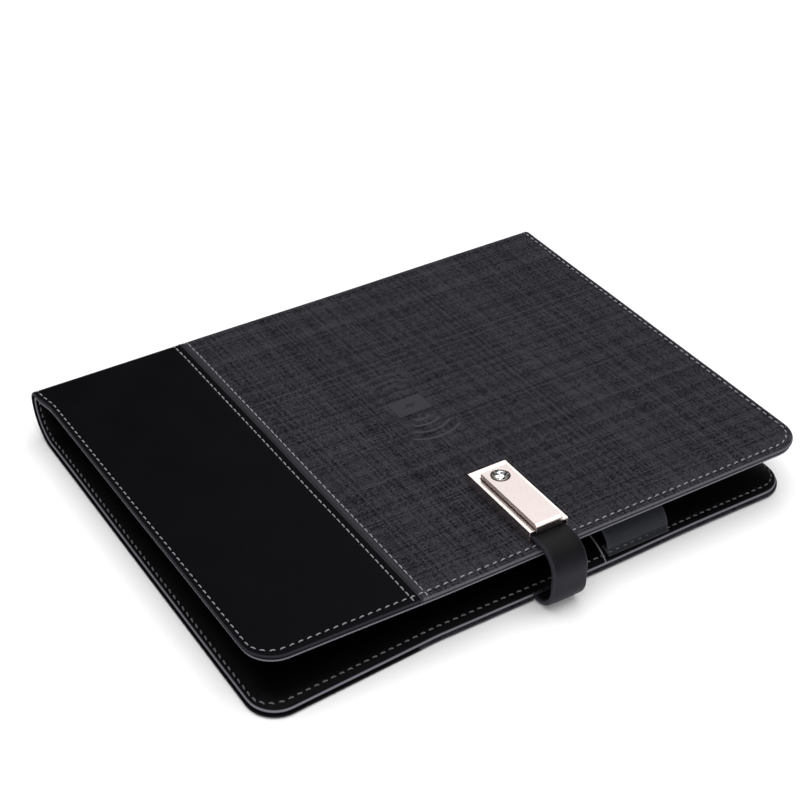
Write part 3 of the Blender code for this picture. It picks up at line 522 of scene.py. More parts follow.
def make_skins(sheet, looks):
    leather = Outline(sheet.length, low_end=-HALF_LENGTH)
    fabric = Outline(sheet.length, high_end=HALF_LENGTH)
    notch_floor = STRAP_LIFT + STRAP_THICKNESS + 0.3
    press, tone = symbol_press(sheet), symbol_tone(sheet)

    def leather_face(distance, s, y):
        return skin_depth(sheet, distance, s, y) + rounded_edge(SEAM_Y - SEAM_HALF - y, 0.5)

    def fabric_face(distance, s, y):
        depth = skin_depth(sheet, distance, s, y) + rounded_edge(y - SEAM_Y - SEAM_HALF, 0.4)
        if sheet.side < 0:
            return np.maximum(depth, notch_floor * in_notch(sheet, s, y))
        return depth + SYMBOL_DEPTH * press(s, y)

    def fabric_back(distance, s, y):
        depth = skin_back(sheet)(distance, s, y)
        if sheet.side < 0:
            return np.maximum(depth, (notch_floor + 0.35) * in_notch(sheet, s, y))
        return depth

    def marks(s, y):
        if sheet.side < 0:
            return {"pressed": seam_strip(y), "symbol": 0.0 * s}
        return {"pressed": np.maximum(press(s, y), seam_strip(y)), "symbol": tone(s, y)}

    fold_lines = (sheet.fold, sheet.fold + LAYER_EASE)
    arc_lines = tuple(np.linspace(0.0, sheet.fold, 33))
    seam_low = [SEAM_Y - SEAM_HALF - offset for offset in SEAM_OFFSETS]
    seam_high = [SEAM_Y + SEAM_HALF + offset for offset in SEAM_OFFSETS]
    along = (*arc_lines, *fold_lines)
    across = tuple(seam_high)
    if sheet.side > 0:
        centre_u, centre_y = symbol_centre()
        along += tuple(np.arange(-SYMBOL_REACH[0], SYMBOL_REACH[0], FINE_GRID) + sheet.fold + centre_u)
        across += tuple(np.arange(-SYMBOL_REACH[1], SYMBOL_REACH[1], FINE_GRID) + centre_y)
    else:
        start = STRAP_TAIL_X - 0.4 - BACK_START + sheet.fold
        along += (start - 0.15, start - 0.05, start + 0.05, start + 0.15)
        for edge in (STRAP_LOW_Y - 0.4, STRAP_HIGH_Y + 0.4):
            across += (edge - 0.15, edge - 0.05, edge + 0.05, edge + 0.15)

    name = sheet.name
    piece = make_slab(name + "_leather_skin", sheet, leather.lines_along(0.0, GRID, arc_lines + fold_lines),
                      leather.lines_across(-HALF_LENGTH, SEAM_Y - SEAM_HALF, GRID, seam_low),
                      leather, leather_face, skin_back(sheet), looks["leather"])
    covered = [name + "_leather_panel", name + "_board"]
    if sheet.side > 0:
        covered.append("spine_leather_panel")
    sheet.attach(piece, "leather", *covered)
    piece = make_slab(name + "_fabric_skin", sheet, fabric.lines_along(0.0, GRID, along),
                      fabric.lines_across(SEAM_Y + SEAM_HALF, HALF_LENGTH, GRID, across),
                      fabric, fabric_face, fabric_back, looks["fabric"], marks=marks)
    covered = [name + "_fabric_panel"]
    if sheet.side > 0:
        covered += ["spine_fabric_panel", "spine_stiffener", "spine_cable"]
    sheet.attach(piece, "fabric", *covered)
    return piece


def make_welt(sheet, looks):
    """The folded strip that stands up in the seam, over the fore edge as well."""
    outline = Outline(sheet.length)

    def face(distance, s, y):
        across = WELT_HALF - np.abs(y - SEAM_Y)
        return rounded_edge(distance, EDGE_RADIUS) + rounded_edge(across, 0.4) - WELT_PROUD

    def back(distance, s, y):
        return skin_back(sheet)(distance, s, y)

    offsets = (0.0, 0.04, 0.12, 0.25, WELT_HALF)
    across = sorted({SEAM_Y + sign * (WELT_HALF - offset) for offset in offsets for sign in (-1, 1)})
    arc_lines = tuple(np.linspace(0.0, sheet.fold, 33))
    piece = make_slab(sheet.name + "_welt", sheet, outline.lines_along(0.0, GRID, arc_lines),
                      np.array(across), outline, face, back, looks["welt"])
    nodes = [sheet.name + "_seam_welt"]
    if sheet.side > 0:
        nodes.append("spine_seam_welt")
    return sheet.attach(piece, "leather", *nodes)


def make_lining(sheet, looks):
    end = HALF_LENGTH - LINING_INSET
    outline = Outline(sheet.length - LINING_INSET, -end, end, CORNER_RADIUS - LINING_INSET)

    def outer(distance, s, y):
        away = distance + LINING_INSET
        return sheet.pressed_together(s, away, sheet.lining_edge[0], SPINE_LINING_OUTER, LINING_OUTER)

    def inner(distance, s, y):
        row = groove(distance + LINING_INSET - sheet.stitch_inset(s, y))
        return sheet.lining_face(s, y) - rounded_edge(distance, 0.25) - row

    arc_lines = tuple(np.linspace(0.0, sheet.fold, 33))
    piece = make_slab(sheet.name + "_cover_lining", sheet, outline.lines_along(0.0, GRID, arc_lines),
                      outline.lines_across(-end, end, GRID), outline, outer, inner, looks["lining"],
                      face_depth=LINING_INNER, rim_depth=(0.35, 1.0))
    nodes = [sheet.name + "_lining"]
    if sheet.side > 0:
        nodes.append("spine_lining")
    return sheet.attach(piece, "lining", *nodes)


# ---------------------------------------------------------------------------------------------
# Stitching
# ---------------------------------------------------------------------------------------------

THREAD_RINGS = 9
THREAD_SIDES = 8


def edge_path(sheet, pitch):
    """Evenly spaced places and headings of the stitches along a cover's free sides."""
    straight = sheet.length - CORNER_RADIUS
    fore_bend, end_bend = CORNER_RADIUS - FORE_STITCH_INSET, CORNER_RADIUS - END_STITCH_INSET
    quarter = (fore_bend + end_bend) * math.pi / 4
    across = 2 * (HALF_LENGTH - CORNER_RADIUS)
    total = 2 * straight + 2 * quarter + across
    count = round(total / pitch)
    t = (np.arange(count) + 0.5) * total / count
    ends = np.cumsum([straight, quarter, across, quarter])
    first, second = (t - ends[0]) / quarter * math.pi / 2, (t - ends[2]) / quarter * math.pi / 2
    middle = HALF_LENGTH - CORNER_RADIUS
    fore, end = sheet.length - FORE_STITCH_INSET, HALF_LENGTH - END_STITCH_INSET
    parts = [t < ends[0], t < ends[1], t < ends[2], t < ends[3]]
    s = np.select(parts, [t, straight + fore_bend * np.sin(first), np.full_like(t, fore),
                          straight + fore_bend * np.cos(second)], straight - (t - ends[3]))
    y = np.select(parts, [np.full_like(t, -end), -middle - end_bend * np.cos(first),
                          -middle + t - ends[1], middle + end_bend * np.sin(second)], end)
    heading = np.select(parts, [0 * t, first, 0 * t + math.pi / 2, math.pi / 2 + second], math.pi)
    return s, y, heading


def straight_path(start, end, y, pitch):
    count = round((end - start) / pitch)
    s = start + (np.arange(count) + 0.5) * (end - start) / count
    return s, np.full_like(s, y), np.zeros_like(s)


def make_stitches(name, sheet, rows, floor, lift, look, slot, dash=STITCH_LENGTH, slant=STITCH_SLANT):
    """Thread dashes that dip into a surface at both ends. Floor gives the surface's depth at a place,
    and lift is 1 on the outer side and -1 on the lining's side."""
    s, y, heading = (np.concatenate(parts)[:, None, None] for parts in zip(*rows))
    heading = heading + slant
    along = np.linspace(-1, 1, THREAD_RINGS)[None, :, None]
    around = np.linspace(0, 2 * np.pi, THREAD_SIDES, endpoint=False)[None, None, :]
    width = STITCH_WIDTH / 2 * (1 - np.abs(along) ** 5 * 0.65)
    t = along * dash / 2 + 0 * around
    across = width * np.cos(around)
    height = 0.75 * width * np.sin(around) + 0.20 - 0.34 * np.abs(along) ** 3
    place_s = s + t * np.cos(heading) - across * np.sin(heading)
    place_y = y + t * np.sin(heading) + across * np.cos(heading)
    depth = floor(place_s, place_y) - lift * height
    points = sheet.place(place_s, place_y, depth)
    count = len(s)
    faces = []
    for k in range(count):
        faces += tube_faces(THREAD_RINGS, THREAD_SIDES, k * THREAD_RINGS * THREAD_SIDES)
    number = np.arange(count)[:, None, None] * 7.3
    pattern = np.stack(np.broadcast_arrays(t + number, across, height), -1).reshape(-1, 3)
    piece = make_object(name, points.reshape(-1, 3), faces, look, 80.0, pattern=pattern)
    return sheet.attach(piece, slot)


def outer_floor(sheet):
    def depth(s, y):
        return rounded_edge(np.maximum(sheet.inside(s, y), 0), EDGE_RADIUS) + GROOVE_DEPTH * 0.8
    return depth


def inner_floor(sheet):
    """The lining's face, or that of the pocket or the pen loop's foot that lies on it."""
    def depth(s, y):
        face = sheet.lining_face(s, y)
        if sheet.side > 0:
            return face - GROOVE_DEPTH * 0.8
        on_loop = (y > low("pen_loop").y) & (y < high("pen_loop").y) & (s > sheet.length - 8.0)
        bare = face - GROOVE_DEPTH * 0.8 + on_loop * (LOOP_LIFT + ELASTIC_THICK + 0.15)
        return np.where(y < back_pocket_edge(sheet, s), pocket_face(sheet, s, y), bare)
    return depth


def make_stitching(sheet, looks):
    edge = edge_path(sheet, STITCH_PITCH)
    make_stitches(sheet.name + "_edge_stitches", sheet, [edge], outer_floor(sheet), 1,
                  looks["thread"], "leather")
    seams = [straight_path(0.0, sheet.length - 0.6, y, SEAM_PITCH) for y in (LEATHER_ROW, FABRIC_ROW)]
    make_stitches(sheet.name + "_seam_stitches", sheet, seams, outer_floor(sheet), 1,
                  looks["thread"], "leather", SEAM_STITCH, 0.0)
    # the lining's stitches use a darker copy of the thread, as painted shade
    make_stitches(sheet.name + "_lining_stitches", sheet, [edge], inner_floor(sheet), -1,
                  looks["thread_in_painted_shade"], "lining", STITCH_LENGTH, -STITCH_SLANT)


# ---------------------------------------------------------------------------------------------
# Strap
# ---------------------------------------------------------------------------------------------

STRAP_ROUND = 0.75
STRAP_CROWN = 0.14
STRAP_STEP = 1.2


class Path:
    """A run of lines and arcs in the XZ plane, with the side that faces inwards."""

    def __init__(self):
        self.places, self.inward = [], []

    def line(self, start, end, inward, step=STRAP_STEP):
        count = max(2, math.ceil(math.dist(start, end) / step))
        for share in np.linspace(0, 1, count + 1):
            self.add(np.add(start, share * np.subtract(end, start)), inward)
        return self

    def arc(self, centre, radius, first, last, step=STRAP_STEP):
        count = max(2, math.ceil(abs(last - first) * radius / step * 1.6))
        for angle in np.linspace(first, last, count + 1):
            out = np.array([math.cos(angle), math.sin(angle)])
            self.add(np.add(centre, radius * out), -out)
        return self

    def add(self, place, inward):
        if not self.places or math.dist(self.places[-1], place) > 1e-4:
            self.places.append(np.asarray(place, float))
            self.inward.append(np.asarray(inward, float))


def strap_section():
    """The strap's outline across its width and thickness, with round edges and a crowned face."""
    half, thick, r = STRAP_WIDTH / 2, STRAP_THICKNESS, STRAP_ROUND
    points = []
    for a, d, start in ((half - r, r, -90), (half - r, thick - r, 0), (r - half, thick - r, 90), (r - half, r, 180)):
        for angle in np.radians(np.linspace(start, start + 90, 6)):
            points.append((a + r * math.cos(angle), d + r * math.sin(angle)))
    dense = []
    for p, q in zip(points, points[1:] + points[:1]):
        count = max(1, math.ceil(math.dist(p, q) / 2.0))
        dense += [np.add(p, np.subtract(q, p) * i / count) for i in range(count)]
    section = np.array(dense)
    section[:, 1] -= STRAP_CROWN * (1 - (section[:, 0] / half) ** 2) * (1 - section[:, 1] / thick)
    return section


def make_ribbon(name, path, looks, round_start=False):
    section = strap_section()
    middle = np.array([0.0, STRAP_THICKNESS / 2])
    places = list(path.places)
    points, pattern = [], []
    length = 0.0
    for i, (place, inward) in enumerate(zip(places, path.inward)):
        length += math.dist(place, places[i - 1]) if i else 0.0
        shrink = rounded_edge(np.array(length), 0.6) if round_start else 0.0
        size = np.array([1 - shrink / (STRAP_WIDTH / 2), 1 - shrink / STRAP_THICKNESS])
        for a, d in middle + (section - middle) * size:
            points.append((place[0] + inward[0] * d, STRAP_Y + a, place[1] + inward[1] * d))
            pattern.append((length, a, d))
    faces = tube_faces(len(places), len(section))
    return make_object(name, np.array(points), faces, looks["strap"], 60.0, pattern=np.array(pattern))


def cover_point(along, above):
    """A place on the front cover as x and z: along it from its fold, and above its outer face."""
    return (FRONT_X + along * math.cos(TILT) + above * math.sin(TILT),
            FRONT_Z - along * math.sin(TILT) + above * math.cos(TILT))


def make_strap(looks):
    low_box, tip_box = (low("strap_lower"), high("strap_lower")), (low("strap_upper"), high("strap_upper"))
    outer_x = low_box[1].x
    bottom_start_x = high("strap_tail").x
    bottom_radius = outer_x - bottom_start_x
    bottom = (bottom_start_x, STRAP_LIFT + bottom_radius)
    top_z = low("strap_upper").z
    split_z = (bottom[1] + top_z) / 2
    top_radius = 10.0
    top = (outer_x - top_radius, top_z)
    top_end = (top[0] + top_radius * math.sin(TILT), top[1] + top_radius * math.cos(TILT))
    inside_end_x = tip_box[0].x
    run = (top_end[0] - inside_end_x) / math.cos(TILT)
    tip_end = (top_end[0] - run * math.cos(TILT), top_end[1] + run * math.sin(TILT))

    lower = Path().line((STRAP_TAIL_X, STRAP_LIFT), (bottom_start_x, STRAP_LIFT), (0, 1))
    lower.arc(bottom, bottom_radius, -math.pi / 2, 0).line((outer_x, bottom[1]), (outer_x, split_z), (-1, 0))
    piece = make_ribbon("strap_lower_length", densify_start(lower), looks, round_start=True)
    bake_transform(piece)
    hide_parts("strap_tail", "strap_lower")

    upper = Path().line((outer_x, split_z), (outer_x, top_z), (-1, 0))
    upper.arc(top, top_radius, 0, math.pi / 2 - TILT)
    upper.line(top_end, tip_end, (-math.sin(TILT), -math.cos(TILT)))
    piece = make_ribbon("strap_upper_length", upper, looks)
    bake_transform(piece)
    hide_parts("strap_upper")


def densify_start(path):
    """Adds rings near a path's start, where its end is rounded."""
    start, second = path.places[0], path.places[1]
    direction = (second - start) / math.dist(second, start)
    for offset in (0.55, 0.35, 0.2, 0.08, 0.02):
        path.places.insert(1, start + direction * offset)
        path.inward.insert(1, path.inward[0])
    return path


# ---------------------------------------------------------------------------------------------
# Clasp
# ---------------------------------------------------------------------------------------------

CLASP_WALL = 0.7
CLASP_SHEET = 0.8
CLASP_FLANGE = 2.6
PLATE_CHAMFER = 1.0
STONE_SIDES = 16


def box_mesh(low_corner, high_corner):
    mesh = bmesh.new()
    size = Vector(high_corner) - Vector(low_corner)
    middle = (Vector(high_corner) + Vector(low_corner)) / 2
    bmesh.ops.create_cube(mesh, size=1.0, matrix=Matrix.Translation(middle) @ Matrix.Diagonal((*size, 1.0)))
    return mesh


def prism_mesh(outline, low_y, high_y):
    """An outline of lengths and heights, pulled across the clasp."""
    mesh = bmesh.new()
    face = mesh.faces.new([mesh.verts.new((a, low_y, b)) for a, b in outline])
    pulled = bmesh.ops.extrude_face_region(mesh, geom=[face])
    moved = [item for item in pulled["geom"] if isinstance(item, bmesh.types.BMVert)]
    bmesh.ops.translate(mesh, vec=(0, high_y - low_y, 0), verts=moved)
    bmesh.ops.recalc_face_normals(mesh, faces=mesh.faces)
    return mesh


def cylinder_mesh(place, radius, bottom, top, sides=48):
    mesh = bmesh.new()
    middle = Vector((place[0], place[1], (bottom + top) / 2))
    bmesh.ops.create_cone(mesh, cap_ends=True, segments=sides, radius1=radius, radius2=radius,
                          depth=top - bottom, matrix=Matrix.Translation(middle))
    return mesh


def turned_mesh(profile, sides=48, place=(0.0, 0.0)):
    """A closed profile of radii and heights, turned round a vertical axis."""
    mesh = bmesh.new()
    rings = []
    for radius, height in profile:
        ring = []
        for k in range(sides):
            angle = 2 * math.pi * k / sides
            ring.append(mesh.verts.new((place[0] + radius * math.cos(angle),
                                        place[1] + radius * math.sin(angle), height)))
        rings.append(ring)
    for first, second in zip(rings, rings[1:] + rings[:1]):
        for k in range(sides):
            n = (k + 1) % sides
            mesh.faces.new((first[k], first[n], second[n], second[k]))
    bmesh.ops.recalc_face_normals(mesh, faces=mesh.faces)
    return mesh


def solid(name, mesh, look=None):
    """A bmesh in millimetres as an object in metres."""
    data = bpy.data.meshes.new(name)
    bmesh.ops.scale(mesh, vec=(MM, MM, MM), verts=mesh.verts)
    mesh.to_mesh(data)
    mesh.free()
    made = bpy.data.objects.new(name, data)
    if look:
        data.materials.append(look)
    bpy.context.scene.collection.objects.link(made)
    return made


def carve(made, mesh, operation="DIFFERENCE"):
    """Cuts or joins a closed mesh, and keeps only the result."""
    cutter = solid("cutter", mesh)
    knife = made.modifiers.new("cut", "BOOLEAN")
    knife.operation = operation
    knife.solver = "EXACT"
    knife.object = cutter
    bpy.context.view_layer.update()
    result = bpy.data.meshes.new_from_object(made.evaluated_get(bpy.context.evaluated_depsgraph_get()))
    made.modifiers.clear()
    made.data = result
    bpy.data.objects.remove(cutter)
    return made


def round_edges(made, width, segments=3, angle=30.0):
    edge = made.modifiers.new("rounded_edges", "BEVEL")
    edge.width = width * MM
    edge.segments = segments
    edge.limit_method = "ANGLE"
    edge.angle_limit = math.radians(angle)
    edge.harden_normals = True
    made.data.shade_smooth()
    made.data.set_sharp_from_angle(angle=math.radians(angle))
    return made


def on_clasp(made, place, slot, *nodes):
    made.matrix_world = place
    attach(made, "clasp")
    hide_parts(*nodes)
    return made


def make_clasp(looks):
    """Channel, raised plate and stone, in lengths along the cover from the clasp's far end."""
    frame_low, frame_high = low("clasp_frame"), high("clasp_frame")
    to_cover = Matrix.Rotation(-TILT, 3, "Y")
    corners = [to_cover @ Vector(v.co) / MM for v in frame["nodes"]["clasp_frame"].data.vertices]
    turned_cover = to_cover @ Vector((FRONT_X, 0, FRONT_Z))
    start = min(c.x for c in corners)
    length = max(c.x for c in corners) - start
    base = min(c.z for c in corners) - turned_cover.z
    rim = max(c.z for c in corners) - turned_cover.z
    half = (frame_high.y - frame_low.y) / 2
    plate_corners = [to_cover @ Vector(v.co) / MM for v in frame["nodes"]["clasp_plate"].data.vertices]
    plate_top = max(c.z for c in plate_corners) - turned_cover.z
    plate_start = min(c.x for c in plate_corners) - start
    plate_bottom = min(c.z for c in plate_corners) - turned_cover.z
    stone = frame["nodes"]["crystal_setting"].data.vertices
    stone_corners = [to_cover @ Vector(v.co) / MM for v in stone]
    stone_x = (min(c.x for c in stone_corners) + max(c.x for c in stone_corners)) / 2 - start
    stone_radius = (max(c.x for c in stone_corners) - min(c.x for c in stone_corners)) / 2

    origin = cover_point(start - turned_cover.x, 0.0)
    place = Matrix.Translation(Vector((origin[0], STRAP_Y, origin[1])) * MM) @ Matrix.Rotation(TILT, 4, "Y")

    plate_half = half - CLASP_FLANGE
    inner = half - CLASP_WALL
    channel = solid("clasp_channel", box_mesh((0, -half, base), (length, half, rim)), looks["metal"])
    carve(channel, box_mesh((CLASP_WALL, -inner, base - 1), (length + 1, inner, rim - CLASP_SHEET)))
    window = plate_half + 0.25
    carve(channel, box_mesh((plate_start - 0.25, -window, 0), (length + 1, window, rim + 1)))
    round_edges(channel, 0.16)
    on_clasp(channel, place, "metal", "clasp_frame")

    end = length + 0.3
    outline = ((plate_start, plate_bottom), (plate_start, plate_top), (end - PLATE_CHAMFER, plate_top),
               (end, plate_top - 0.75 * PLATE_CHAMFER), (end, plate_bottom))
    plate = solid("clasp_raised_plate", prism_mesh(outline, -plate_half, plate_half), looks["plate"])
    carve(plate, box_mesh((plate_start + 1, 0.3 - inner, plate_bottom),
                          (length - 1, inner - 0.3, rim - CLASP_SHEET - 0.3)), "UNION")
    seat = plate_top - 1.4
    carve(plate, cylinder_mesh((stone_x, 0), stone_radius + 0.3, seat, plate_top + 1))
    round_edges(plate, 0.18)
    on_clasp(plate, place, "metal", "clasp_plate")
    make_stone(looks, place, stone_x, stone_radius, plate_top, seat)


def make_stone(looks, place, x, radius, top, seat):
    """A turned cup with eight claws round a brilliant-cut stone."""
    inner = radius - 0.5
    profile = ((radius, seat + 0.3), (radius, top + 0.05), (radius - 0.12, top + 0.26), (radius - 0.35, top + 0.32),
               (inner + 0.08, top + 0.16), (inner, top - 0.1), (inner, seat + 0.8), (0.02, seat + 0.8),
               (0.02, seat + 0.3))
    cup = solid("stone_cup", turned_mesh(profile, 48, (x, 0)), looks["setting"])
    for k in range(8):
        angle = 2 * math.pi * (k + 0.5) / 8
        claw = bmesh.new()
        spot = Vector((x + (inner + 0.05) * math.cos(angle), (inner + 0.05) * math.sin(angle), top + 0.22))
        size = Matrix.Translation(spot) @ Matrix.Rotation(angle, 4, "Z") @ Matrix.Diagonal((0.42, 0.30, 0.30, 1))
        bmesh.ops.create_uvsphere(claw, u_segments=12, v_segments=8, radius=1.0, matrix=size)
        carve(cup, claw, "UNION")
    cup.data.shade_smooth()
    cup.data.set_sharp_from_angle(angle=math.radians(50))
    on_clasp(cup, place, "metal", "crystal_setting")

    girdle = inner - 0.12
    stone = bmesh.new()
    middle = Vector((x, 0, 0))
    for k in range(STONE_SIDES):
        angle = 2 * math.pi * k / STONE_SIDES
        out = Vector((math.cos(angle), math.sin(angle), 0))
        long_facet = k % 2 == 0
        stone.verts.new(middle + out * girdle + Vector((0, 0, top + 0.12)))
        stone.verts.new(middle + out * girdle + Vector((0, 0, top - 0.02)))
        stone.verts.new(middle + out * girdle * (0.80 if long_facet else 0.74) + Vector((0, 0, top + 0.62)))
        if not long_facet:
            stone.verts.new(middle + out * girdle * 0.50 + Vector((0, 0, top + 0.98)))
            stone.verts.new(middle + out * girdle * 0.45 + Vector((0, 0, seat + 0.95)))
    hull = bmesh.ops.convex_hull(stone, input=stone.verts)
    spare = {item for item in hull["geom_interior"] + hull["geom_unused"] if isinstance(item, bmesh.types.BMVert)}
    bmesh.ops.delete(stone, geom=list(spare), context="VERTS")
    bmesh.ops.recalc_face_normals(stone, faces=stone.faces)
    gem = solid("faceted_stone", stone, looks["crystal"])
    on_clasp(gem, place, "crystal", "crystal")


# ---------------------------------------------------------------------------------------------
# Inside the covers
# ---------------------------------------------------------------------------------------------

POCKET_EDGE_SLOPE = 0.16
POCKET_THICK = (0.25, 0.85)         # at the cover's edge and further in
POCKET_INSET = 0.5
BINDING_WIDTH = 0.8
BINDING_PROUD = 0.30
ELASTIC_ROUND = 0.35
ELASTIC_THICK = 0.42
LOOP_LIFT = 0.35


def pocket_face(sheet, s, y):
    """Depth of the inner face of a pocket that lies on the lining."""
    thick = sheet.pressed_together(s, sheet.inside(s, y), POCKET_THICK[0], POCKET_THICK[1], POCKET_THICK[1])
    return sheet.lining_face(s, y) + thick


def back_pocket_low(sheet, s):
    """The back pocket's near side, which follows the cover's round corner."""
    inset = LINING_INSET + POCKET_INSET
    beyond = np.maximum(s - sheet.length + CORNER_RADIUS, 0.0)
    reach = np.sqrt(np.maximum((CORNER_RADIUS - inset) ** 2 - beyond ** 2, 0.0))
    return np.maximum(CORNER_RADIUS - HALF_LENGTH - reach, low("back_pocket_panel").y)


def back_pocket_edge(sheet, s):
    """Where the back pocket opens: its edge turns away near the fore edge's far side."""
    edge = high("back_pocket_panel").y - 0.5
    return edge + POCKET_EDGE_SLOPE * np.maximum(sheet.length - LINING_INSET - s, 0.0)


def make_pocket(name, sheet, looks, outline, start, low_side, edge, node):
    """A pocket panel on a lining, with a lighter bound edge where it opens. The two functions give
    the y of its closed side and of its opening."""
    body = sheet.bodies[0] if sheet.side < 0 else sheet.bodies[1]

    def build(part, s, share, first, last, proud, look):
        y = first(s) + (last(s) - first(s)) * share
        points = []
        for lift in (None, proud):
            under = sheet.lining_face(s, y) + 0.05
            depth = under if lift is None else pocket_face(sheet, s, y) + lift
            points.append(sheet.place(s, y, depth).reshape(-1, 3))
        flat = np.stack([sheet.side * s, y, np.zeros_like(s)], -1).reshape(-1, 3)
        rows, columns = s.shape
        faces = grid_faces(rows, columns) + grid_faces(rows, columns, rows * columns) + rim_faces(rows, columns)
        made = make_object(part, np.concatenate(points), faces, look, pattern=np.concatenate([flat, flat]))
        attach(made, body)
        return made

    s, share = np.meshgrid(outline.lines_along(start, GRID), np.linspace(0, 1, 61), indexing="ij")
    rounded = -rounded_edge(np.minimum(outline.fore - s, share * 60.0), 0.2)
    panel = build(name, s, share, low_side, edge, rounded, looks["pocket"])
    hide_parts(node)
    s, share = np.meshgrid(lines(start, outline.fore + 0.2, GRID), np.linspace(0, 1, 9), indexing="ij")
    bulge = BINDING_PROUD * np.sqrt(np.clip(1 - (2 * share - 1) ** 2, 0, 1)) - rounded_edge(outline.fore + 0.2 - s, 0.3)
    build(name + "_binding", s, share, lambda s: edge(s) - BINDING_WIDTH / 2, lambda s: edge(s) + BINDING_WIDTH / 2,
          bulge, looks["binding"])


def make_pockets(front, back, looks):
    box_low = low("back_pocket_panel")
    start = box_low.x - BACK_START + back.fold
    make_pocket("back_pocket", back, looks, Outline(back.length - LINING_INSET - POCKET_INSET), start,
                lambda s: back_pocket_low(back, s), lambda s: back_pocket_edge(back, s), "back_pocket_panel")
    box_low, box_high = low("front_pocket_panel"), high("front_pocket_panel")
    start = along_cover(box_low.x, LINING_INNER) + front.fold
    fore = along_cover(box_high.x, LINING_INNER) + front.fold
    make_pocket("front_pocket", front, looks, Outline(fore), start, lambda s: box_low.y + 0 * s,
                lambda s: box_high.y + 0 * s, "front_pocket_panel")


def make_pen_loop(back, looks):
    """An elastic loop: a low arch of ribbed webbing with both feet sewn to the lining."""
    box_low, box_high = low("pen_loop"), high("pen_loop")
    middle = (box_low.x + box_high.x) / 2
    half = (box_high.x - box_low.x) / 2
    turn = np.linspace(0, np.pi, 49)

    def on_lining(x, lift):
        return [x, float(back.lining_face(np.array(x - BACK_START + back.fold), np.array(0.0))) + lift]

    base = on_lining(box_high.x, LOOP_LIFT)[1]
    rise = box_high.z - base
    arch = np.stack([middle + half * np.cos(turn), base + rise * np.sin(turn) ** 0.8], -1)
    foot = [on_lining(FORE_X - FORE_STITCH_INSET + 0.9 - step, LOOP_LIFT) for step in (0.0, 2.2, 4.6)]
    far_foot = [on_lining(box_low.x - step, LOOP_LIFT) for step in (0.6, 3.0)]
    path = np.concatenate([foot, arch[1:-1], far_foot])
    along = np.gradient(path, axis=0)
    along /= np.linalg.norm(along, axis=1, keepdims=True)
    out = np.stack([along[:, 1], -along[:, 0]], -1)
    out = np.where(((path - [middle, base - 8.0]) * out).sum(1, keepdims=True) < 0, -out, out)
    length = np.concatenate([[0], np.cumsum(np.linalg.norm(np.diff(path, axis=0), axis=1))])
    offsets = (0, 0.05, 0.15, 0.35)
    marks = [box_low.y + o for o in offsets] + [box_high.y - o for o in offsets]
    across = lines(box_low.y, box_high.y, 1.0, marks)
    from_side = np.minimum(across - box_low.y, box_high.y - across)
    edge = rounded_edge(from_side, ELASTIC_ROUND)
    ribs = 0.05 * np.cos(length * 2 * np.pi / 1.1)
    points, pattern = [], []
    for side in (1, -1):
        thick = ELASTIC_THICK - edge[None, :] + ribs[:, None]
        place = path[:, None, :] + side * out[:, None, :] * thick[..., None]
        y = np.broadcast_to(across[None, :], thick.shape)
        points.append(np.stack([place[..., 0], y, place[..., 1]], -1).reshape(-1, 3))
        pattern.append(np.stack([np.broadcast_to(length[:, None], thick.shape), y, 0 * y], -1).reshape(-1, 3))
    rows, columns = len(path), len(across)
    faces = grid_faces(rows, columns) + grid_faces(rows, columns, rows * columns) + rim_faces(rows, columns)
    rim = np.tile(np.broadcast_to(hump(from_side / 0.3)[None, :], (rows, columns)).reshape(-1), 2)
    piece = make_object("elastic_pen_loop", np.concatenate(points), faces, looks["elastic"],
                        pattern=np.concatenate(pattern), rim=rim)
    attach(piece, "back_cover")
    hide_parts("pen_loop")


def dress_nodes(looks):
    """Finishes for the CAD nodes that stay."""
    finishes = {
        "case": ("power_case_lower", "power_case_upper", "plug_holder"),
        "button": ("power_button",),
        "clear": ("light_pipe",),
        "steel": ("usb_c_port", "usb_a_port", "keeper_plate", "usb_plug", "clasp_magnet"),
        "foil": ("battery_cell",),
        "circuit": ("power_board", "charger_board"),
        "copper": ("charging_coil",),
        "ferrite": ("ferrite_shield",),
        "film": ("back_cable", "front_cable"),
    }
    rounded = {"power_case_lower": 0.7, "power_case_upper": 0.9, "power_button": 0.35, "usb_plug": 0.2,
               "usb_c_port": 0.15, "usb_a_port": 0.15, "battery_cell": 0.8, "clasp_magnet": 0.2}
    for look, names in finishes.items():
        for name in names:
            node = frame["nodes"][name]
            node.data.materials.clear()
            node.data.materials.append(looks[look])
            if name in rounded:
                round_edges(node, rounded[name], 4)


# ---------------------------------------------------------------------------------------------
# Materials
# ---------------------------------------------------------------------------------------------

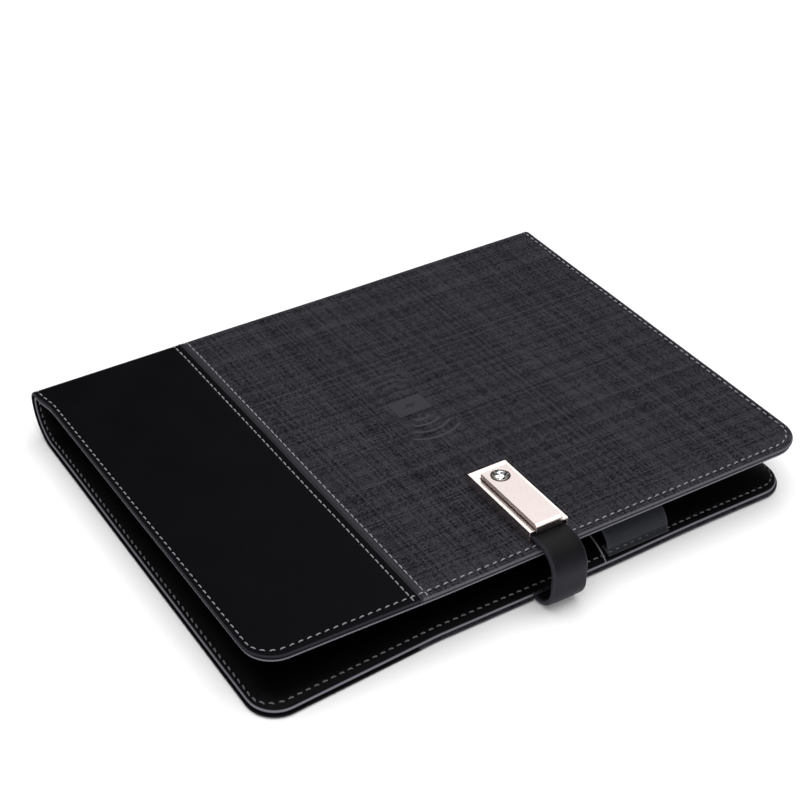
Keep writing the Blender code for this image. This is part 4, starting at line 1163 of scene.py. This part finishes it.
class Shader:
    """A node material. An input takes a number, a colour or another node's output."""

    def __init__(self, name, in_pattern=True):
        self.made = bpy.data.materials.new(name)
        self.made.use_nodes = True
        self.tree = self.made.node_tree
        self.surface = self.tree.nodes["Principled BSDF"]
        if in_pattern:
            self.where = self.node("Attribute", attribute_name="pattern").outputs["Vector"]
        else:
            place = self.node("TexCoord").outputs["Object"]
            self.where = self.vector("SCALE", place, scale=1 / MM)

    def feed(self, socket, value):
        if isinstance(value, bpy.types.NodeSocket):
            self.tree.links.new(value, socket)
        elif isinstance(value, str):
            socket.default_value = colour(value)
        else:
            socket.default_value = value

    def node(self, kind, inputs=(), **settings):
        made = self.tree.nodes.new("ShaderNode" + kind)
        for key, value in settings.items():
            setattr(made, key, value)
        for key, value in dict(inputs).items():
            self.feed(made.inputs[key], value)
        return made

    def math(self, operation, *values):
        made = self.node("Math", operation=operation)
        for socket, value in zip(made.inputs, values):
            self.feed(socket, value)
        return made.outputs[0]

    def vector(self, operation, a, b=None, scale=None):
        made = self.node("VectorMath", operation=operation)
        self.feed(made.inputs[0], a)
        if b is not None:
            self.feed(made.inputs[1], b)
        if scale is not None:
            self.feed(made.inputs["Scale"], scale)
        return made.outputs[0]

    def split(self, vector):
        made = self.node("SeparateXYZ", {0: vector})
        return made.outputs[0], made.outputs[1]

    def join(self, x, y, z=0.0):
        return self.node("CombineXYZ", {0: x, 1: y, 2: z}).outputs[0]

    def noise(self, scale, detail=2.0, roughness=0.5, where=None):
        made = self.node("TexNoise", {"Vector": where or self.where, "Scale": scale, "Detail": detail,
                                      "Roughness": roughness})
        return made.outputs[0]

    def cells(self, scale, feature="F1", where=None):
        made = self.node("TexVoronoi", {"Vector": where or self.where, "Scale": scale}, feature=feature)
        return made.outputs["Distance"]

    def scatter(self, value):
        """A different number from 0 to 1 for each whole number."""
        return self.node("TexWhiteNoise", {"W": value}, noise_dimensions="1D").outputs["Value"]

    def range(self, value, start, end, low_value=0.0, high_value=1.0):
        made = self.node("MapRange", {"Value": value, "From Min": start, "From Max": end,
                                      "To Min": low_value, "To Max": high_value})
        return made.outputs[0]

    def blend(self, factor, first, second):
        """Mixes two colours."""
        made = self.node("Mix", data_type="RGBA")
        for key, value in ((0, factor), (6, first), (7, second)):
            self.feed(made.inputs[key], value)
        return made.outputs[2]

    def crown(self, across, along):
        """Height of a thread that rises over one crossing and dips under the next."""
        return self.math("MULTIPLY", across, self.math("ADD", 0.45, self.math("MULTIPLY", along, 0.55)))

    def bump(self, height, distance, strength=1.0, under=None):
        made = self.node("Bump", {"Height": height, "Distance": distance * MM, "Strength": strength})
        if under is not None:
            self.feed(made.inputs["Normal"], under)
        return made.outputs[0]

    def finish(self, **inputs):
        for key, value in inputs.items():
            self.feed(self.surface.inputs[key.replace("_", " ")], value)
        return self.made


def colour(code):
    """A colour written as six hexadecimal digits, as linear red, green, blue and alpha."""
    parts = [int(code[i:i + 2], 16) / 255 for i in (1, 3, 5)]
    return (*[p / 12.92 if p < 0.04045 else ((p + 0.055) / 1.055) ** 2.4 for p in parts], 1.0)


THREAD = 0.78                     # pitch of the weave's threads


def thread_tone(made, along, number, seed):
    """Tone of a slubbed thread: each one differs, and runs lighter and darker along its length."""
    slub = made.noise(1.0, 3.0, 0.65, made.join(made.math("MULTIPLY", along, 0.75),
                                               made.math("MULTIPLY", number, 3.7), seed))
    own = made.scatter(made.math("ADD", number, seed * 31.0))
    return made.math("ADD", made.range(slub, 0.36, 0.64, 0.08, 0.86), made.range(own, 0.0, 1.0, -0.33, 0.33))


def fabric_look():
    """A plain weave of slubbed threads, each lighter and darker along its length."""
    made = Shader("charcoal_weave")
    drift = made.node("TexNoise", {"Vector": made.where, "Scale": 0.3, "Detail": 2.0}).outputs[1]
    u, v = made.split(made.vector("ADD", made.where, made.vector("SCALE", drift, scale=0.3)))
    across, along = made.math("DIVIDE", u, THREAD), made.math("DIVIDE", v, THREAD)
    column, row = made.math("FLOOR", across), made.math("FLOOR", along)
    over = made.math("MODULO", made.math("ABSOLUTE", made.math("ADD", column, row)), 2.0)
    over = made.math("GREATER_THAN", over, 0.5)
    in_column = made.math("SUBTRACT", made.math("FRACT", across), 0.5)
    in_row = made.math("SUBTRACT", made.math("FRACT", along), 0.5)
    round_u = made.math("COSINE", made.math("MULTIPLY", in_column, 2.7))
    round_v = made.math("COSINE", made.math("MULTIPLY", in_row, 2.7))
    crowns = {0: over, 2: made.crown(round_u, round_v), 3: made.crown(round_v, round_u)}
    height = made.node("Mix", crowns).outputs[0]
    warp, weft = thread_tone(made, u, row, 0.0), thread_tone(made, v, column, 9.0)
    upper = made.node("Mix", {0: over, 2: weft, 3: warp}).outputs[0]
    both = made.math("ADD", warp, weft)
    tone = made.math("ADD", made.math("MULTIPLY", upper, 0.5), made.math("MULTIPLY", both, 0.25))
    fibre = made.noise(3.2, 3.0, 0.7)
    tone = made.math("ADD", tone, made.range(fibre, 0.3, 0.7, -0.12, 0.12))
    # painted shade and highlight: darker in the gaps between threads, lighter on their crowns
    shade = made.math("MULTIPLY", tone, made.range(height, 0.15, 0.85, 0.1, 1.3))
    woven = made.blend(shade, "#060608", "#3f3e44")
    cloudy = made.noise(0.035, 2.0, 0.5)
    woven = made.blend(made.range(cloudy, 0.35, 0.7, 0.0, 0.10), woven, "#131317")
    pressed = made.node("Attribute", attribute_name="pressed").outputs["Fac"]
    symbol = made.node("Attribute", attribute_name="symbol").outputs["Fac"]
    marks_and_painted_light = made.blend(made.math("MULTIPLY", pressed, 0.85), woven, "#2b2a2f")
    # the symbol's lighter tone is painted highlight; its darker tone is the bolt and painted shadow lines
    marks_and_painted_light = made.blend(made.range(symbol, 0.0, 1.0, 0.0, 1.0), marks_and_painted_light, "#3f3e44")
    marks_and_painted_light = made.blend(made.range(symbol, 0.0, -1.0, 0.0, 0.7), marks_and_painted_light, "#060608")
    # painted highlight: the skin's edge and side are coloured lighter, as where light falls on them
    rim = made.node("Attribute", attribute_name="rim").outputs["Fac"]
    marks_and_painted_light = made.blend(made.math("MULTIPLY", rim, 0.85), marks_and_painted_light, "#5e5d64")
    relief = made.math("MULTIPLY", made.math("ADD", height, made.math("MULTIPLY", fibre, 0.5)),
                       made.range(pressed, 0.0, 1.0, 1.0, 0.12))
    rough = made.range(pressed, 0.0, 1.0, 0.86, 0.55)
    return made.finish(Base_Color=marks_and_painted_light, Roughness=rough, Normal=made.bump(relief, 0.14, 0.8),
                       Specular_IOR_Level=0.08, Sheen_Weight=0.03, Sheen_Roughness=0.5,
                       Sheen_Tint="#8d8a99")


def leather_look(name, dark, light, grain, roughness, specular=0.35, rubbed_edge_and_highlight="#2a2a30"):
    """Coated leather: fine pebble grain, slight mottling and a lighter edge, partly from rubbing and partly painted
    highlight.
    """
    made = Shader(name)
    pebble = made.cells(grain, "SMOOTH_F1")
    crease = made.noise(grain * 0.35, 4.0, 0.6)
    mottle = made.noise(0.05, 3.0, 0.55)
    fine = made.noise(grain * 3.0, 2.0, 0.6)
    base = made.blend(made.range(mottle, 0.3, 0.7), dark, light)
    base = made.blend(made.range(pebble, 0.0, 0.6, 0.0, 0.35), base, dark)
    rim = made.node("Attribute", attribute_name="rim").outputs["Fac"]
    # the edge colour is partly rubbing and partly a painted highlight
    base = made.blend(made.range(rim, 0.25, 0.9), base, rubbed_edge_and_highlight)
    height = made.math("ADD", made.math("MULTIPLY", pebble, -0.7), made.math("MULTIPLY", crease, 0.5))
    normal = made.bump(height, 0.05, 0.5)
    normal = made.bump(fine, 0.015, 0.4, normal)
    rough = made.range(made.math("ADD", mottle, made.math("MULTIPLY", fine, 0.3)), 0.4, 0.9,
                       roughness - 0.05, roughness + 0.08)
    return made.finish(Base_Color=base, Roughness=rough, Normal=normal, Specular_IOR_Level=specular)


def thread_look(name, dark, light):
    """Twisted sewing thread: slanting plies along each stitch."""
    made = Shader(name)
    along, across = made.split(made.where)
    twist = made.math("SINE", made.math("ADD", made.math("MULTIPLY", along, 9.0), made.math("MULTIPLY", across, 7.0)))
    fuzz = made.noise(4.0, 3.0, 0.7)
    tone = made.math("ADD", made.range(twist, -1.0, 1.0, 0.15, 0.75), made.math("MULTIPLY", fuzz, 0.4))
    each = made.scatter(made.math("FLOOR", made.math("DIVIDE", along, 7.3)))
    base = made.blend(made.math("MULTIPLY", tone, made.range(each, 0.0, 1.0, 0.75, 1.05)), dark, light)
    return made.finish(Base_Color=base, Roughness=0.72, Normal=made.bump(twist, 0.05, 0.8),
                       Specular_IOR_Level=0.3, Sheen_Weight=0.2)


def strap_look():
    """Smooth moulded strap with a fine satin skin, slightly lighter edges from rubbing, and painted shade that darkens
    its upward faces.
    """
    made = Shader("satin_strap")
    length, across = made.split(made.where)
    skin = made.noise(6.0, 3.0, 0.65)
    streaks = made.noise(1.0, 3.0, 0.6, made.join(made.math("MULTIPLY", length, 0.15), made.math("MULTIPLY", across, 1.3)))
    rub = made.range(made.math("ABSOLUTE", across), STRAP_WIDTH / 2 - 0.9, STRAP_WIDTH / 2)
    upward_for_painted_shade = made.node("SeparateXYZ", {0: made.node("TexCoord").outputs["Normal"]}).outputs[2]
    base = made.blend(made.range(streaks, 0.3, 0.7), "#19191f", "#202028")
    # painted shade: faces that look upward are coloured darker
    base = made.blend(made.range(upward_for_painted_shade, 0.1, 0.8), base, "#0a0a0c")
    base = made.blend(made.math("MULTIPLY", rub, 0.5), base, "#3a3a42")
    rough = made.range(made.math("ADD", streaks, skin), 0.6, 1.3, 0.40, 0.52)
    return made.finish(Base_Color=base, Roughness=rough, Normal=made.bump(skin, 0.012, 0.5),
                       Specular_IOR_Level=0.10)


def elastic_look():
    """Ribbed elastic webbing with covered threads."""
    made = Shader("ribbed_elastic")
    length, across = made.split(made.where)
    rib = made.math("SINE", made.math("MULTIPLY", length, 2 * math.pi / 0.55))
    cord = made.math("SINE", made.math("MULTIPLY", across, 2 * math.pi / 0.7))
    fuzz = made.noise(3.0, 3.0, 0.7)
    tone = made.math("ADD", made.range(made.math("MULTIPLY", rib, cord), -1.0, 1.0, 0.1, 0.7),
                     made.math("MULTIPLY", fuzz, 0.45))
    base = made.blend(tone, "#0d0e12", "#292b32")
    rim = made.node("Attribute", attribute_name="rim").outputs["Fac"]
    base = made.blend(made.math("MULTIPLY", rim, 0.6), base, "#4a4c52")
    height = made.math("ADD", made.math("ADD", rib, made.math("MULTIPLY", cord, 0.5)), fuzz)
    return made.finish(Base_Color=base, Roughness=0.68, Normal=made.bump(height, 0.06, 0.7),
                       Sheen_Weight=0.1, Specular_IOR_Level=0.2)


def metal_look(name, tone, dark, roughness, brushed=1.0, in_pattern=False):
    """Plated metal with fine brushing along the piece, small pits and finger haze."""
    made = Shader(name, in_pattern)
    x, y = made.split(made.where)
    brushing = made.noise(1.0, 4.0, 0.7, made.join(made.math("MULTIPLY", x, 0.35), made.math("MULTIPLY", y, 9.0)))
    haze = made.noise(0.18, 3.0, 0.6)
    base = made.blend(made.range(haze, 0.3, 0.75, 0.0, 0.35), tone, dark)
    rough = made.math("ADD", made.range(haze, 0.3, 0.7, roughness - 0.04, roughness + 0.05),
                      made.math("MULTIPLY", brushing, 0.08 * brushed))
    return made.finish(Base_Color=base, Metallic=1.0, Roughness=rough,
                       Normal=made.bump(brushing, 0.006, 0.5 * brushed))


def crystal_look():
    """Foil-backed cut glass: clear over a silvered back, so that each facet is a small mirror, with random bright and
    dark patches painted on as glints and reflections.
    """
    made = Shader("foiled_crystal", in_pattern=False)
    # painted glints: random cells from near black to near white stand in for the facets' reflections
    painted_glints = made.node("TexVoronoi", {"Vector": made.where, "Scale": 1.9}).outputs["Color"]
    base = made.blend(made.range(made.split(painted_glints)[0], 0.42, 0.58), "#1d1f25", "#f6f7fb")
    return made.finish(Base_Color=base, Metallic=0.85, Roughness=0.04, Coat_Weight=1.0, Coat_Roughness=0.02)


def plastic_look(name, dark, light, roughness, grain=2.5):
    """Moulded plastic with a fine spark-eroded texture."""
    made = Shader(name, in_pattern=False)
    texture = made.noise(grain, 3.0, 0.6)
    wear = made.noise(0.08, 3.0, 0.6)
    base = made.blend(made.range(made.math("ADD", wear, made.math("MULTIPLY", texture, 0.3)), 0.4, 0.9), dark, light)
    rough = made.range(wear, 0.3, 0.7, roughness - 0.05, roughness + 0.08)
    return made.finish(Base_Color=base, Roughness=rough, Normal=made.bump(texture, 0.03, 0.5))


def circuit_look():
    """Solder mask over a grid of copper tracks."""
    made = Shader("solder_mask", in_pattern=False)
    cells = made.cells(0.5, "DISTANCE_TO_EDGE")
    track = made.range(cells, 0.02, 0.05, 1.0, 0.0)
    speckle = made.noise(1.5, 2.0, 0.5)
    base = made.blend(track, made.blend(speckle, "#0a3a1e", "#0f4a28"), "#2f8a50")
    return made.finish(Base_Color=base, Roughness=0.35, Normal=made.bump(track, 0.03, 0.6), Coat_Weight=0.3)


def foil_look():
    """Crinkled aluminium foil of a lithium cell."""
    made = Shader("cell_foil", in_pattern=False)
    crinkle = made.cells(0.35, "DISTANCE_TO_EDGE")
    fine = made.noise(1.2, 3.0, 0.6)
    base = made.blend(fine, "#8f9196", "#c4c6ca")
    height = made.math("ADD", crinkle, made.math("MULTIPLY", fine, 0.3))
    return made.finish(Base_Color=base, Metallic=1.0, Roughness=0.38, Normal=made.bump(height, 0.25, 0.5))


def make_looks():
    return {
        "leather": leather_look("smooth_black_leather", "#060608", "#09090c", 1.1, 0.46, 0.02),
        # the welt's grey is a painted highlight along the seam's folded edge
        "welt": leather_look("seam_leather_painted_highlight", "#1c1c20", "#29292e", 1.1, 0.48, 0.15),
        "binding": leather_look("pocket_binding", "#6a6a70", "#85858c", 1.1, 0.48, 0.20),
        "fabric": fabric_look(),
        # the lining's lighter edge colour is partly rubbing and partly a painted highlight
        "lining": leather_look("grained_black_lining", "#040405", "#070709", 0.8, 0.50, 0.05, "#74747c"),
        "pocket": leather_look("pocket_lining", "#040405", "#060608", 0.9, 0.45, 0.04),
        "thread": thread_look("grey_thread", "#3f3f44", "#a2a2aa"),
        # a darker copy of the same thread: painted shade on the stitches inside the covers
        "thread_in_painted_shade": thread_look("grey_thread_painted_shade", "#28282b", "#67676e"),
        "strap": strap_look(),
        "elastic": elastic_look(),
        "metal": metal_look("champagne_metal", "#efe1dd", "#e5d4ce", 0.20, 0.5),
        "plate": metal_look("champagne_plate", "#d0c5c2", "#c7bab6", 0.20, 0.5),
        "setting": metal_look("dark_setting", "#9a918c", "#6b645f", 0.30, 0.5),
        "steel": metal_look("bright_steel", "#c8c9cc", "#a2a4a8", 0.26),
        "crystal": crystal_look(),
        "case": plastic_look("black_case_plastic", "#121214", "#1a1a1d", 0.42),
        "button": plastic_look("button_plastic", "#3a3a3d", "#4b4b4f", 0.38, 4.0),
        "clear": plastic_look("light_pipe_plastic", "#b9c4cc", "#dfe6ea", 0.18, 1.0),
        "foil": foil_look(),
        "circuit": circuit_look(),
        "copper": metal_look("enamelled_copper", "#d0783e", "#a85526", 0.24),
        "ferrite": plastic_look("dull_ferrite", "#26262a", "#35353a", 0.62, 1.6),
        "film": plastic_look("flat_cable_film", "#7c4a16", "#9a6224", 0.30, 1.2),
    }


# ---------------------------------------------------------------------------------------------
# Stage
# ---------------------------------------------------------------------------------------------

CAMERA_PLACE = Vector((0.46994, -0.30127, 0.44011))
CAMERA_AZIMUTH = math.radians(57.738)
CAMERA_ELEVATION = math.radians(36.472)
CAMERA_ROLL = math.radians(0.717)
CAMERA_LENS = 83.665


def floor_look():
    made = Shader("pale_floor", in_pattern=False)
    tone = made.noise(0.004, 2.0, 0.5)
    base = made.blend(tone, "#f4f4f4", "#fbfbfb")
    return made.finish(Base_Color=base, Roughness=0.85)


def make_floor():
    mesh = bmesh.new()
    bmesh.ops.create_grid(mesh, x_segments=2, y_segments=2, size=3.0)
    data = bpy.data.meshes.new("floor")
    mesh.to_mesh(data)
    mesh.free()
    floor = bpy.data.objects.new("floor", data)
    floor.location.z = -0.0004
    data.materials.append(floor_look())
    bpy.context.scene.collection.objects.link(floor)


def make_light(name, place, aim, size, power, tint=(1.0, 1.0, 1.0)):
    lamp = bpy.data.lights.new(name, "AREA")
    lamp.shape = "RECTANGLE"
    lamp.size, lamp.size_y = size
    lamp.energy = power
    lamp.color = tint
    made = bpy.data.objects.new(name, lamp)
    made.location = place
    made.rotation_euler = (Vector(aim) - Vector(place)).to_track_quat("-Z", "Y").to_euler()
    bpy.context.scene.collection.objects.link(made)


def make_stage():
    scene = bpy.context.scene
    scene.view_settings.view_transform = "Standard"
    make_floor()
    make_light("overhead", (0.05, 0.0, 1.3), (0.05, 0, 0), (1.8, 1.8), 26.0)
    make_light("far_softbox", (-0.40, 0.355, 0.49), (0.075, 0.002, 0.028), (0.42, 0.34), 0.55)
    make_light("near_fill", (0.9, -0.2, 0.5), (0.0, 0.0, 0.0), (0.9, 0.6), 3.5)
    world = bpy.data.worlds.new("studio")
    scene.world = world
    world.use_nodes = True
    world.node_tree.nodes["Background"].inputs["Color"].default_value = (1.0, 1.0, 1.0, 1.0)
    world.node_tree.nodes["Background"].inputs["Strength"].default_value = 0.20

    back = Vector((math.sin(CAMERA_AZIMUTH) * math.cos(CAMERA_ELEVATION),
                   -math.cos(CAMERA_AZIMUTH) * math.cos(CAMERA_ELEVATION), math.sin(CAMERA_ELEVATION)))
    level = Vector((math.cos(CAMERA_AZIMUTH), math.sin(CAMERA_AZIMUTH), 0.0))
    rise = back.cross(level)
    right = level * math.cos(CAMERA_ROLL) + rise * math.sin(CAMERA_ROLL)
    up = back.cross(right)
    lens = bpy.data.cameras.new("camera")
    lens.lens = CAMERA_LENS
    lens.clip_start = 0.01
    camera = bpy.data.objects.new("camera", lens)
    turn = Matrix((right, up, back)).transposed().to_4x4()
    camera.matrix_world = Matrix.Translation(CAMERA_PLACE) @ turn
    scene.collection.objects.link(camera)
    scene.camera = camera


def main():
    looks = make_looks()
    front, back = make_sheets()
    for sheet in (front, back):
        make_skins(sheet, looks)
        make_welt(sheet, looks)
        make_lining(sheet, looks)
        make_stitching(sheet, looks)
    make_pockets(front, back, looks)
    make_pen_loop(back, looks)
    make_strap(looks)
    make_clasp(looks)
    dress_nodes(looks)
    make_stage()


main()
